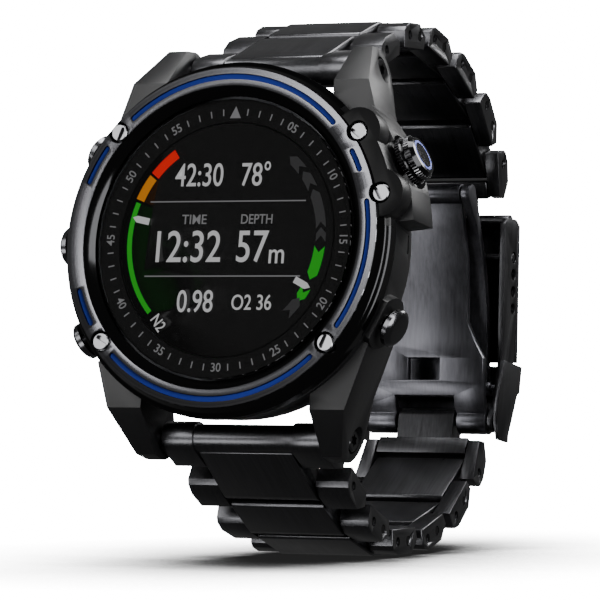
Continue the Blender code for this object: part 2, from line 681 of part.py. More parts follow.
def build_cover(holder):
    """The clasp's outer cover: a plate, two side walls with adjusting holes, and two arms to the lid's hinge."""
    bar = in_cover(ADJUST_BAR)
    lid_hinge = in_cover(CLASP_HINGE)
    top, foot = bar.x - 5.0, bar.x + 16.2
    face, inside, rear = bar.y + 1.9, bar.y + 1.3, bar.y - 3.6
    plate = prism(((top, inside), (foot, inside), (foot, face), (top, face)), -COVER_WALL[1], COVER_WALL[1])
    wall = [(top - 0.9, inside - 0.6), (top - 0.2, face - 0.1), (foot, face - 0.1), (foot, inside - 0.7)]
    wall += [(0.1, 2.1), (0.7, 1.2), (3.8, -0.5), *arc(lid_hinge, 1.7, 60.0, -120.0, 8)]
    wall += [(lid_hinge.x - 3.2, lid_hinge.y + 0.2), (foot, rear), (top, rear), (top - 0.9, rear + 1.0)]
    holes = [circle((bar.x + ADJUST_STEP * step, bar.y), PIN_HOLE_RADIUS, 16) for step in range(ADJUST_HOLES)]
    holes += [circle((0.0, 0.0), PIN_HOLE_RADIUS), circle(lid_hinge, PIN_HOLE_RADIUS)]
    side = prism(wall, COVER_WALL[0], ARM_OUTER, holes=holes)
    lip = rod((top - 0.3, bar.y - 1.2), 1.2, 5.2, ARM_OUTER - 0.2, 16)
    body = pivot("clasp_cover_pivot", holder, shifted([BLADE_PIVOT], TOP_BARREL)[0], COVER_ANGLE)
    part("clasp_cover", joined(plate, *both_sides(side), *both_sides(lip)), "dark_steel", body)
    return body


def build_flip_lock(holder):
    """The lid that closes over the lower end of the cover."""
    wall = [(-0.8, 9.4), (6.0, 9.4), (5.8, 5.3), (5.0, 4.9), (3.8, 1.3), (2.7, -1.6), (2.7, -2.8)]
    wall += [(-0.8, -2.8), (-2.0, -0.2), (-1.8, 3.8)]
    plate = [(6.0, 9.4), (5.8, 5.3), (5.0, 4.9), (3.8, 1.3), (3.55, 0.6)]
    plate += [(2.85, 0.6), (3.1, 1.4), (4.4, 5.2), (5.1, 5.7), (5.3, 9.4)]
    shape = prism(plate, -LID_WALL[0] - 0.1, LID_WALL[0] + 0.1)
    stub = rod((0.0, 0.0), PIN_RADIUS, 10.4, LID_WALL[0] + 0.2)
    shape = joined(shape, *both_sides(prism(wall, *LID_WALL)), *both_sides(stub))
    body = pivot("flip_lock_pivot", holder, in_cover(CLASP_HINGE), -COVER_ANGLE)
    part("flip_lock", shape, "dark_steel", body)


def build_adjust_link(holder):
    """The short link from the last upper row, with the bar that sets its place in the cover."""
    half_thickness = 1.2
    top = in_cover((73.4, 19.6)) - in_cover(ADJUST_BAR)
    outline = arc((0.0, 0.0), half_thickness, -90.0, 90.0, 8)
    outline += [(top.x - 0.45, top.y + half_thickness), (top.x + 0.35, top.y - half_thickness)]
    shape = prism(outline, -4.7, 4.7)
    shape = joined(shape, rod((0.0, 0.0), PIN_RADIUS, -10.9, 10.9))
    body = pivot("adjust_link_pivot", holder, in_cover(ADJUST_BAR))
    part("adjust_link", shape, "dark_steel", body)


def stand(frame):
    """Moves the watch so that it stands on the ground, with the middle of its box over the origin."""
    bpy.context.view_layer.update()
    meshes = [item for item in bpy.context.scene.objects if item.type == "MESH"]
    corners = [item.matrix_world @ corner.co for item in meshes for corner in item.data.vertices]
    lowest = Vector([min(corner[axis] for corner in corners) for axis in range(3)])
    highest = Vector([max(corner[axis] for corner in corners) for axis in range(3)])
    middle = (lowest + highest) / 2.0
    frame.location = (-middle.x, -middle.y, -lowest.z)


def main():
    """Builds the watch in an empty scene."""
    for item in list(bpy.data.objects):
        bpy.data.objects.remove(item)
    frame = pivot("watch_frame", None, angle=-LEAN)
    build_case(frame)
    build_bezel(frame)
    for number, (angle, radius) in enumerate(EAR_SCREWS + RING_SCREWS, start=1):
        top = EAR_TOP if (angle, radius) in EAR_SCREWS else BEZEL_TOP
        build_bezel_screw(f"bezel_screw_{number}", angle, radius, top, frame)
    build_inside(frame)
    build_case_back(frame)
    build_buttons(frame)
    for chain in (UPPER, LOWER):
        build_lug_bar(f"lug_bar_{chain.name}", chain.side, frame)
        build_rows(chain, build_end_link(chain, frame))
    blade_inner = build_blade_inner(frame)
    cover = build_cover(build_blade_outer(blade_inner))
    build_flip_lock(cover)
    build_adjust_link(cover)
    stand(frame)


main()
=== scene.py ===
"""The finished look of a dive computer on its steel link bracelet.

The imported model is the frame: each piece here stands for one of its nodes, or sits on one, and rides on
its body. Pieces of the head are laid out in the watch's own frame in millimetres, X to 3 o'clock, Y into
the case and Z to 12 o'clock from the dial's centre, and angles on the dial run clockwise from 12.
"""

import json
import logging
import math
from collections.abc import Sequence
from dataclasses import dataclass
from enum import Enum
from typing import Any

import bmesh
import bpy
from mathutils import Matrix, Vector


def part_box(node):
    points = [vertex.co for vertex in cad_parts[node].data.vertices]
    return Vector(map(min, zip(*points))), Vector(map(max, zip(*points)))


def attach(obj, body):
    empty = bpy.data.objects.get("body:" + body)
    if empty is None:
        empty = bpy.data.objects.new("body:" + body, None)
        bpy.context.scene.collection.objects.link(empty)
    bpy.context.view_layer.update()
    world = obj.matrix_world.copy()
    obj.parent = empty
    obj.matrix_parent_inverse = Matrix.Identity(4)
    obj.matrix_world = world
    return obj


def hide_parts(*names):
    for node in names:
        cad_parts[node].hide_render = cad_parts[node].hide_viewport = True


Point = tuple[float, float]
Shape = bmesh.types.BMesh

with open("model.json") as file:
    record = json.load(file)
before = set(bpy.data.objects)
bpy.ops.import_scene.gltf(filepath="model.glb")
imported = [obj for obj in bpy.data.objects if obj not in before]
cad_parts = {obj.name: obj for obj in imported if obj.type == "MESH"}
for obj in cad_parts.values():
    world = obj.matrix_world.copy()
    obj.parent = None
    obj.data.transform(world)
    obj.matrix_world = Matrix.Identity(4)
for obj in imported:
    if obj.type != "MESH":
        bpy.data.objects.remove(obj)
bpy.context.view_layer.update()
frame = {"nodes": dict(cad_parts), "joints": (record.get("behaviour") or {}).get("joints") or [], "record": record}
LOG = logging.getLogger("dive_computer")
MM = 0.001
# The mesh attribute that holds each corner's place in millimetres, for the lines of brushed metal.
GRAIN = "grain"
# How close two corners of a new shape, or of a packed one, count as one, in millimetres.
WELD = 1e-4
PACKED_WELD = 2e-3
# How deep scratches and grit are, in metres.
RELIEF = 0.00002
REPEAT_TREE = "Repeated Round An Axis"
# The lens's middle lies this far in front of the dial's centre, in millimetres.
LENS_RISE = 0.15
# The camera's place from the dial's centre in metres, and how far its view is turned to the left in degrees.
CAMERA_OFFSET = (0.30306, -0.5900, -0.0086)
CAMERA_TURN = 26.27


class Grain(Enum):
    """Which way a surface's fine lines run, in the coordinates of its grain attribute."""

    ALONG = "along the piece's second axis"
    ROUND = "round the piece's third axis"


class Axis(Enum):
    """The axis that an outline is pulled along."""

    X = 0
    Y = 1
    Z = 2


def linear(code: str) -> tuple[float, float, float, float]:
    """Turns an sRGB hex colour into the linear colour that a shader reads.

    Args:
        code: Six hex digits after a hash sign.

    Returns:
        Red, green, blue and a full alpha.
    """
    channels = [int(code[start : start + 2], 16) / 255 for start in (1, 3, 5)]
    straight = [c / 12.92 if c <= 0.04045 else ((c + 0.055) / 1.055) ** 2.4 for c in channels]
    return straight[0], straight[1], straight[2], 1.0


def add_node(
    tree: bpy.types.NodeTree, kind: str, inputs: dict[Any, Any] | None = None, **settings: Any
) -> Any:
    """Adds a node to a tree, with its settings and its inputs.

    Args:
        tree: The tree that gets the node.
        kind: The node's type name.
        inputs: A value for each input socket, or the output socket that feeds it.
        settings: The node's own properties.

    Returns:
        The new node.
    """
    node = tree.nodes.new(kind)
    for name, value in settings.items():
        setattr(node, name, value)
    for name, value in (inputs or {}).items():
        if isinstance(value, bpy.types.NodeSocket):
            tree.links.new(value, node.inputs[name])
        else:
            node.inputs[name].default_value = value
    return node


def new_material(name: str) -> tuple[bpy.types.Material, bpy.types.NodeTree]:
    """Makes an empty node material.

    Args:
        name: The material's name.

    Returns:
        The material and its tree.
    """
    material = bpy.data.materials.new(name)
    material.use_nodes = True
    material.node_tree.nodes.clear()
    return material, material.node_tree


def close_material(tree: bpy.types.NodeTree, inputs: dict[str, Any]) -> None:
    """Ends a material's tree with a Principled shader and its output.

    Args:
        tree: The material's tree.
        inputs: The shader's inputs, as add_node takes them.
    """
    shader = add_node(tree, "ShaderNodeBsdfPrincipled", inputs)
    add_node(tree, "ShaderNodeOutputMaterial", {"Surface": shader.outputs["BSDF"]})


def ranged(tree: bpy.types.NodeTree, factor: Any, low: float, high: float) -> Any:
    """A factor from 0 to 1 turned into a value between two limits."""
    limits = {"Value": factor, "To Min": low, "To Max": high}
    return add_node(tree, "ShaderNodeMapRange", limits).outputs["Result"]


def shaded(tree: bpy.types.NodeTree, factor: Any, code: str, darkest: float, lightest: float) -> Any:
    """A colour that goes from a darker to a lighter shade of itself.

    Args:
        tree: The material's tree.
        factor: The socket that says how light it is, from 0 to 1.
        code: The colour, as linear takes it.
        darkest: The darker shade's share of the colour.
        lightest: The lighter shade's share.

    Returns:
        The socket that gives the colour.
    """
    base = linear(code)[:3]
    blend = {
        "Factor": factor,
        6: tuple(darkest * channel for channel in base) + (1.0,),
        7: tuple(min(1.0, lightest * channel) for channel in base) + (1.0,),
    }
    return add_node(tree, "ShaderNodeMix", blend, data_type="RGBA").outputs[2]


@dataclass(frozen=True)
class BrushedMetal:
    """Carbon-coated steel or titanium, drawn over an abrasive belt or turned on a lathe.

    The coating keeps the scratches, so the eye gets fine parallel lines that catch the light and a soft,
    long glow across them.
    """

    name: str
    colour: str
    roughness: float = 0.32
    grain: Grain = Grain.ALONG
    # Real scratches are about 0.05 mm apart. They are drawn seven times as coarse, so that they show.
    spacing_mm: float = 0.36
    length_mm: float = 9.0
    depth: float = 0.35
    darkest: float = 0.62
    lightest: float = 1.38
    line_swing: float = 0.09
    # Broad, soft patches of handling wear, one in about 5 mm.
    wear_scale: float = 0.22
    wear_swing: float = 0.05

    def material(self) -> bpy.types.Material:
        """Builds the finish.

        Returns:
            The material.
        """
        material, tree = new_material(self.name)
        place = add_node(tree, "ShaderNodeAttribute", attribute_name=GRAIN).outputs["Vector"]
        if self.grain is Grain.ROUND:
            in_plane = {0: place, 1: (1.0, 1.0, 0.0)}
            flat = add_node(tree, "ShaderNodeVectorMath", in_plane, operation="MULTIPLY").outputs[0]
            radius = add_node(tree, "ShaderNodeVectorMath", {0: flat}, operation="LENGTH")
            place = add_node(tree, "ShaderNodeCombineXYZ", {"X": radius.outputs["Value"]}).outputs["Vector"]
        scale = (1.0 / self.spacing_mm, 1.0 / self.length_mm, 1.0 / self.spacing_mm)
        stretched = add_node(tree, "ShaderNodeMapping", {"Vector": place, "Scale": scale}).outputs["Vector"]
        scratches = {"Vector": stretched, "Scale": 1.0, "Detail": 3.0, "Roughness": 0.65}
        lines = add_node(tree, "ShaderNodeTexNoise", scratches).outputs["Fac"]
        broad = {"Vector": place, "Scale": self.wear_scale, "Detail": 2.0}
        wear = add_node(tree, "ShaderNodeTexNoise", broad).outputs["Fac"]
        colour = shaded(tree, ranged(tree, lines, 0.0, 1.0), self.colour, self.darkest, self.lightest)
        streaks = ranged(tree, lines, self.roughness - self.line_swing, self.roughness + self.line_swing)
        patches = ranged(tree, wear, -self.wear_swing, self.wear_swing)
        rough = add_node(tree, "ShaderNodeMath", {0: streaks, 1: patches}, operation="ADD").outputs["Value"]
        bump = {"Strength": self.depth, "Distance": RELIEF, "Height": lines}
        inputs = {
            "Base Color": colour,
            "Metallic": 1.0,
            "Roughness": rough,
            "Normal": add_node(tree, "ShaderNodeBump", bump).outputs["Normal"],
        }
        close_material(tree, inputs)
        return material


@dataclass(frozen=True)
class SmoothSurface:
    """A smooth finish: polished metal, moulded plastic, enamel, rubber or ink.

    Its grit breaks the gloss up a little, and its mottle keeps a broad surface from being one flat
    colour.
    """

    name: str
    colour: str
    roughness: float
    metallic: float = 0.0
    # The grit of a mould's spark-eroded texture, or of a polishing compound.
    grit_mm: float = 0.15
    grit_depth: float = 0.0
    mottle: float = 0.12
    mottle_mm: float = 9.0
    rough_swing: float = 0.2
    # A painted glow: emission in the surface's own colour that stands in for light falling on it, on parts that
    # are no lamps.
    glow: float = 0.0
    specular: float = 0.5

    def material(self) -> bpy.types.Material:
        """Builds the finish.

        Returns:
            The material.
        """
        material, tree = new_material(self.name)
        place = add_node(tree, "ShaderNodeTexCoord").outputs["Object"]
        broad = {"Vector": place, "Scale": 1.0 / (self.mottle_mm * MM), "Detail": 3.0}
        cloud = add_node(tree, "ShaderNodeTexNoise", broad).outputs["Fac"]
        colour = shaded(tree, cloud, self.colour, 1.0 - self.mottle, 1.0 + self.mottle)
        smooth, rough = self.roughness * (1.0 - self.rough_swing), self.roughness * (1.0 + self.rough_swing)
        inputs = {
            "Base Color": colour,
            "Metallic": self.metallic,
            "Roughness": ranged(tree, cloud, smooth, rough),
            "Specular IOR Level": self.specular,
        }
        if self.grit_depth:
            fine = {"Vector": place, "Scale": 1.0 / (self.grit_mm * MM), "Detail": 2.0}
            grit = add_node(tree, "ShaderNodeTexNoise", fine).outputs["Fac"]
            bump = {"Strength": self.grit_depth, "Distance": RELIEF, "Height": grit}
            inputs["Normal"] = add_node(tree, "ShaderNodeBump", bump).outputs["Normal"]
        # The painted glow.
        if self.glow:
            inputs["Emission Color"] = colour
            inputs["Emission Strength"] = self.glow
        close_material(tree, inputs)
        return material


@dataclass(frozen=True)
class Sapphire:
    """Polished sapphire with an anti-reflection coat: clear, hard-edged and only faintly mirroring."""

    name: str = "polished_sapphire"
    # The coat leaves a fainter mirror than sapphire's own index of 1.77 gives.
    coated_index: float = 1.3
    # Faint wiping marks, about 17 mm across.
    smear_scale: float = 60.0
    smear_roughness: float = 0.03

    def material(self) -> bpy.types.Material:
        """Builds the finish.

        Returns:
            The material.
        """
        material, tree = new_material(self.name)
        place = add_node(tree, "ShaderNodeTexCoord").outputs["Object"]
        broad = {"Vector": place, "Scale": self.smear_scale, "Detail": 2.0}
        smears = add_node(tree, "ShaderNodeTexNoise", broad).outputs["Fac"]
        inputs = {
            "Base Color": (1.0, 1.0, 1.0, 1.0),
            "Roughness": ranged(tree, smears, 0.0, self.smear_roughness),
            "IOR": self.coated_index,
            "Transmission Weight": 1.0,
        }
        close_material(tree, inputs)
        return material


class Ink(Enum):
    """Printed marks: colour, mottle and a painted glow that stands in for the light falling on them."""

    # Each ink's colour, mottle and the strength of its painted glow.
    PALE = ("#b9b9ba", 0.04, 0.8)
    MARK = ("#8c8c8e", 0.06, 0.5)
    GREY = ("#3c3c3d", 0.06, 0.5)
    GREEN = ("#18a81e", 0.06, 0.6)
    AMBER = ("#c87800", 0.06, 0.7)
    RED = ("#e01000", 0.06, 0.7)

    def material(self) -> bpy.types.Material:
        """Builds the ink: flat and even, with a painted glow in place of the lamps' light, which the lens and the
        light linking keep off the marks.
        """
        colour, mottle, glow = self.value
        return SmoothSurface(f"{self.name.lower()}_ink", colour, 0.5, mottle=mottle, glow=glow).material()


class Finishes:
    """The watch's finishes, each made once."""

    def __init__(self) -> None:
        """Builds every material."""
        # Dark grey, with lines along each link and pale streaks where a rounded edge meets the light.
        self.link = BrushedMetal(
            "brushed_carbon_coated_links", "#424244", roughness=0.32, depth=0.8
        ).material()
        # The clasp's folded sheet: a little lighter and duller, with coarser lines.
        self.blade = BrushedMetal(
            "brushed_carbon_coated_sheet", "#4c4c50", roughness=0.34, spacing_mm=0.4, depth=0.6
        ).material()
        # The bezel's land: fine circles that spread a light into a fan.
        self.ring = BrushedMetal(
            "turned_carbon_coated_ring", "#58585b", roughness=0.22, grain=Grain.ROUND, spacing_mm=0.3
        ).material()
        # Buttons and lug screws: the same, finer and darker.
        self.button = BrushedMetal(
            "turned_carbon_coated_button", "#4a4a4c", roughness=0.22, grain=Grain.ROUND, spacing_mm=0.1
        ).material()
        # The case: near black and matt, with a moulded grain.
        self.shell = SmoothSurface(
            "moulded_fibre_polymer", "#0b0b0c", 0.45, grit_mm=0.18, grit_depth=0.25, specular=0.25
        ).material()
        # The bezel's lip, the crown and the pin ends: black with sharp, bright mirrors.
        self.black = SmoothSurface(
            "polished_carbon_coated_steel", "#1a1a1b", 0.12, metallic=0.9, mottle=0.06
        ).material()
        # Bare steel: the one light metal, soft and bright.
        self.steel = SmoothSurface(
            "satin_screw_steel", "#6a6a6c", 0.28, metallic=1.0, grit_depth=0.1
        ).material()
        # Deep blue in the slots and in the crown's ring, with a faint painted glow that keeps it blue where it
        # lies in shade.
        self.enamel = SmoothSurface(
            "blue_enamel_with_painted_glow", "#1a2e86", 0.5, grit_depth=0.1, glow=0.12
        ).material()
        # The dial's black, a little softer than the display's glass.
        self.dial = SmoothSurface("black_printed_dial", "#060607", 0.22, mottle=0.2).material()
        self.screen = SmoothSurface("black_display_glass", "#030304", 0.1, mottle=0.2).material()
        # Dead matt black, which no light picks out.
        self.rubber = SmoothSurface("moulded_rubber_seal", "#0b0b0b", 0.75, grit_depth=0.3).material()
        # What is sealed inside: green board, grey foil and yellow contacts.
        self.board = SmoothSurface(
            "circuit_board_resist", "#0f4a2c", 0.4, grit_mm=0.8, grit_depth=0.3
        ).material()
        self.cell = SmoothSurface(
            "wrapped_cell_foil", "#55575a", 0.35, metallic=0.5, grit_depth=0.2
        ).material()
        self.gold = SmoothSurface("gold_plated_contact", "#c9a04c", 0.25, metallic=1.0).material()
        # Clear, with hardly a mirror, so that the dial shows through it.
        self.sapphire = Sapphire().material()
        self.inks = {ink: ink.material() for ink in Ink}


@dataclass(frozen=True)
class WatchFrame:
    """Where the head stands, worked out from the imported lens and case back."""

    to_world: Matrix
    to_watch: Matrix

    @classmethod
    def found(cls) -> "WatchFrame":
        """Finds the head's frame.

        Returns:
            The frame, whose matrices go between its millimetres and the row frame's metres.
        """
        mounts = {mount["name"]: mount for mount in frame["record"]["mounts"]}
        back = Vector(mounts["wrist_face"]["axis"]).normalized()
        right = Vector((1.0, 0.0, 0.0))
        up = right.cross(back).normalized()
        low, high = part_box("lens")
        centre = (low + high) / 2 + back * LENS_RISE * MM
        turn = Matrix((right, back, up)).transposed().to_4x4()
        to_world = Matrix.Translation(centre) @ turn @ Matrix.Scale(MM, 4)
        return cls(to_world, to_world.inverted())


WATCH = WatchFrame.found()


def clock(angle: float, radius: float) -> Point:
    """The X and Z of a point on the dial."""
    turn = math.radians(angle)
    return radius * math.sin(turn), radius * math.cos(turn)


def facing(angle: float, depth: float) -> Matrix:
    """The matrix that turns the Z axis to an angle on the dial, at a depth behind it."""
    return Matrix.Translation((0.0, depth, 0.0)) @ Matrix.Rotation(math.radians(angle), 4, "Y")


def arc(centre: Point, radius: float, start: float, end: float, steps: int) -> list[Point]:
    """Points from one angle to another, in degrees from the first axis towards the second."""
    angles = [math.radians(start + (end - start) * step / steps) for step in range(steps + 1)]
    return [(centre[0] + radius * math.cos(a), centre[1] + radius * math.sin(a)) for a in angles]


def circle(centre: Point, radius: float, sides: int = 32) -> list[Point]:
    """The corners of a round outline."""
    return arc(centre, radius, 0.0, 360.0, sides)[:-1]


def laid_out(axis: Axis, along: float, first: float, second: float) -> Vector:
    """A point given by its place along one axis and its places on the other two.

    Args:
        axis: The axis.
        along: The place along it.
        first: The place on the first of the other axes, in X, Y, Z order.
        second: The place on the second.

    Returns:
        The point.
    """
    places = [first, second]
    places.insert(axis.value, along)
    return Vector(places)


def prism(outline: Sequence[Point], low: float, high: float, axis: Axis = Axis.Y) -> Shape:
    """Pulls a flat outline along an axis.

    Args:
        outline: The corners, on the other two axes.
        low: Where the prism starts along its axis.
        high: Where it ends.
        axis: The axis that it is pulled along.

    Returns:
        The closed shape.
    """
    shape = bmesh.new()
    corners = [shape.verts.new(laid_out(axis, low, *point)) for point in outline]
    for first, second in zip(corners, corners[1:] + corners[:1]):
        shape.edges.new((first, second))
    bmesh.ops.triangle_fill(shape, use_beauty=True, edges=shape.edges)
    pulled = bmesh.ops.extrude_face_region(shape, geom=shape.faces)["geom"]
    raised = [item for item in pulled if isinstance(item, bmesh.types.BMVert)]
    bmesh.ops.translate(shape, verts=raised, vec=laid_out(axis, high - low, 0.0, 0.0))
    bmesh.ops.recalc_face_normals(shape, faces=shape.faces)
    return shape


def turned(profile: Sequence[Point], axis: Axis = Axis.Y, sides: int = 96) -> Shape:
    """Turns a profile about an axis.

    Args:
        profile: Radius and place along the axis of each point. A profile that doesn't start on the axis
            closes on itself.
        axis: The axis of the lathe.
        sides: How many steps make the turn.

    Returns:
        The closed shape.
    """
    shape = bmesh.new()
    corners = [shape.verts.new(laid_out(axis, along, radius, 0.0)) for radius, along in profile]
    edges = [shape.edges.new(pair) for pair in zip(corners, corners[1:])]
    if profile[0][0] > 0.0:
        edges.append(shape.edges.new((corners[-1], corners[0])))
    spindle = laid_out(axis, 1.0, 0.0, 0.0)
    bmesh.ops.spin(
        shape, geom=corners + edges, cent=(0.0, 0.0, 0.0), axis=spindle, angle=math.tau, steps=sides
    )
    bmesh.ops.remove_doubles(shape, verts=shape.verts, dist=WELD)
    bmesh.ops.recalc_face_normals(shape, faces=shape.faces)
    return shape


def moved(shape: Shape, matrix: Matrix) -> Shape:
    """The shape after a move or a turn."""
    bmesh.ops.transform(shape, matrix=matrix, verts=shape.verts)
    return shape


def gathered(shapes: Sequence[Shape]) -> Shape:
    """Holds several shapes in one, unjoined.

    Args:
        shapes: The shapes, which are used up.

    Returns:
        The one shape.
    """
    whole = bmesh.new()
    for shape in shapes:
        mesh = bpy.data.meshes.new("scratch")
        shape.to_mesh(mesh)
        whole.from_mesh(mesh)
        shape.free()
        bpy.data.meshes.remove(mesh)
    return whole


def scratch_object(shape: Shape) -> bpy.types.Object:
    """Makes a short-lived object that holds a shape.

    Args:
        shape: The shape, which is used up.

    Returns:
        The object, in the scene.
    """
    mesh = bpy.data.meshes.new("scratch")
    shape.to_mesh(mesh)
    shape.free()
    scratch = bpy.data.objects.new("scratch", mesh)
    bpy.context.scene.collection.objects.link(scratch)
    return scratch


def baked(item: bpy.types.Object) -> Shape:
    """Takes the shape of an object after its modifiers.

    Args:
        item: The object, which is used up.

    Returns:
        Its final shape.
    """
    graph = bpy.context.evaluated_depsgraph_get()
    mesh = bpy.data.meshes.new_from_object(item.evaluated_get(graph))
    shape = bmesh.new()
    shape.from_mesh(mesh)
    bpy.data.meshes.remove(mesh)
    kept_in = bpy.data.curves if item.type == "FONT" else bpy.data.meshes
    kept_in.remove(item.data)
    return shape


def combined(operation: str, base: Shape, *tools: Shape) -> Shape:
    """Joins shapes to a base, or cuts them from it.

    Args:
        operation: UNION or DIFFERENCE.
        base: The shape that is worked on.
        tools: The shapes to join or cut. All the shapes handed in are used up.

    Returns:
        The result.
    """
    for tool in tools:
        helper = scratch_object(tool)
        target = scratch_object(base)
        boolean = target.modifiers.new(operation, "BOOLEAN")
        boolean.operation = operation
        boolean.object = helper
        base = baked(target)
        bmesh.ops.remove_doubles(base, verts=base.verts, dist=WELD)
        bpy.data.meshes.remove(helper.data)
    return base


def bevelled(shape: Shape, width: float, segments: int = 2) -> Shape:
    """Rounds a shape's edges.

    Args:
        shape: The shape, which is used up.
        width: The round's width, in the shape's own units.
        segments: How many steps make the round.

    Returns:
        The shape with its edges rounded.
    """
    bmesh.ops.dissolve_limit(shape, angle_limit=math.radians(0.5), verts=shape.verts, edges=shape.edges)
    item = scratch_object(shape)
    bevel = item.modifiers.new("Bevel", "BEVEL")
    bevel.width = width
    bevel.segments = segments
    bevel.limit_method = "ANGLE"
    bevel.angle_limit = math.radians(28.0)
    bevel.miter_outer = "MITER_ARC"
    result = baked(item)
    bmesh.ops.remove_doubles(result, verts=result.verts, dist=WELD)
    return result


@dataclass(frozen=True)
class Dressing:
    """What a finished shape becomes: name, material, body, nodes that it stands for and grain's frame."""

    name: str
    material: bpy.types.Material
    body: str = "root"
    nodes: tuple[str, ...] = ()
    slot: str = "link_metal"
    grain_frame: Matrix | None = None
    smooth_below: float = 32.0


def finished(shape: Shape, dressing: Dressing, to_world: Matrix | None = None) -> bpy.types.Object:
    """Makes a finished piece of a shape, at the origin, with its place in its mesh.

    Args:
        shape: The shape, which is used up.
        dressing: What it becomes.
        to_world: The matrix from the shape's millimetres to the row frame's metres, the head's if left
            out.

    Returns:
        The piece.
    """
    matrix = WATCH.to_world if to_world is None else to_world
    grain_frame = matrix.inverted() if dressing.grain_frame is None else dressing.grain_frame
    moved(shape, matrix)
    mesh = bpy.data.meshes.new(dressing.name)
    shape.to_mesh(mesh)
    shape.free()
    grain = mesh.attributes.new(GRAIN, "FLOAT_VECTOR", "POINT")
    for corner, value in zip(mesh.vertices, grain.data):
        value.vector = grain_frame @ corner.co
    mesh.materials.append(dressing.material)
    mesh.shade_smooth()
    mesh.set_sharp_from_angle(angle=math.radians(dressing.smooth_below))
    piece = bpy.data.objects.new(dressing.name, mesh)
    bpy.context.scene.collection.objects.link(piece)
    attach(piece, dressing.body)
    if dressing.nodes:
        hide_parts(*dressing.nodes)
    LOG.info("%s: %d faces on %s", dressing.name, len(mesh.polygons), dressing.body)
    return piece


def copied(node: str, to_local: Matrix) -> Shape:
    """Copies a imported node's shape, with its seams welded.

    Args:
        node: The node's name.
        to_local: The matrix from the row frame's metres to the millimetres that the copy is worked in.

    Returns:
        The copy.
    """
    shape = bmesh.new()
    shape.from_mesh(frame["nodes"][node].data)
    moved(shape, to_local)
    bmesh.ops.remove_doubles(shape, verts=shape.verts, dist=PACKED_WELD)
    return shape


def repeated_tree() -> bpy.types.NodeTree:
    """Builds the tree that repeats a piece round the Z axis.

    Returns:
        A tree with the inputs Count, Material and Gap Every, which leaves out each place whose number
        divides by it.
    """
    tree = bpy.data.node_groups.new(REPEAT_TREE, "GeometryNodeTree")
    sockets = tree.interface
    sockets.new_socket("Geometry", in_out="INPUT", socket_type="NodeSocketGeometry")
    sockets.new_socket("Count", in_out="INPUT", socket_type="NodeSocketInt")
    sockets.new_socket("Gap Every", in_out="INPUT", socket_type="NodeSocketInt")
    sockets.new_socket("Material", in_out="INPUT", socket_type="NodeSocketMaterial")
    sockets.new_socket("Geometry", in_out="OUTPUT", socket_type="NodeSocketGeometry")
    given = add_node(tree, "NodeGroupInput").outputs
    index = add_node(tree, "GeometryNodeInputIndex").outputs[0]
    share = add_node(tree, "ShaderNodeMath", {0: index, 1: given["Count"]}, operation="DIVIDE").outputs[0]
    turn = add_node(tree, "ShaderNodeMath", {0: share, 1: math.tau}, operation="MULTIPLY").outputs[0]
    rotation = add_node(tree, "ShaderNodeCombineXYZ", {"Z": turn}).outputs[0]
    rest = add_node(tree, "ShaderNodeMath", {0: index, 1: given["Gap Every"]}, operation="MODULO").outputs[0]
    kept = add_node(
        tree, "FunctionNodeCompare", {"A": rest, "B": 0.5}, data_type="FLOAT", operation="GREATER_THAN"
    ).outputs[0]
    offset = {"Count": given["Count"], "Offset": (0.0, 0.0, 0.0)}
    points = add_node(tree, "GeometryNodeMeshLine", offset, mode="OFFSET").outputs[0]
    placed = {"Points": points, "Selection": kept, "Instance": given["Geometry"], "Rotation": rotation}
    copies = add_node(tree, "GeometryNodeInstanceOnPoints", placed)
    real = add_node(tree, "GeometryNodeRealizeInstances", {"Geometry": copies.outputs[0]})
    look = {"Geometry": real.outputs[0], "Material": given["Material"]}
    dressed = add_node(tree, "GeometryNodeSetMaterial", look)
    add_node(tree, "NodeGroupOutput", {0: dressed.outputs[0]})
    return tree


def repeated(shape: Shape, count: int, gap_every: int, material: bpy.types.Material) -> Shape:
    """Repeats a shape round the Z axis with Geometry Nodes.

    Args:
        shape: One piece, which is used up.
        count: How many places there are in a full turn.
        gap_every: Leaves a place empty each time its number divides by this.
        material: The pieces' material.

    Returns:
        All the pieces in one shape.
    """
    tree = bpy.data.node_groups.get(REPEAT_TREE) or repeated_tree()
    item = scratch_object(shape)
    modifier = item.modifiers.new("Repeated", "NODES")
    modifier.node_group = tree
    inputs = [socket for socket in tree.interface.items_tree if socket.in_out == "INPUT"]
    identifiers = {socket.name: socket.identifier for socket in inputs}
    modifier[identifiers["Count"]] = count
    modifier[identifiers["Gap Every"]] = gap_every
    modifier[identifiers["Material"]] = material
    return baked(item)


def dial_plane() -> Matrix:
    """The matrix from the dial seen from the front, X right and Y up, to the head's frame."""
    return Matrix(((1, 0, 0, 0), (0, 0, -1, 0), (0, 1, 0, 0), (0, 0, 0, 1)))


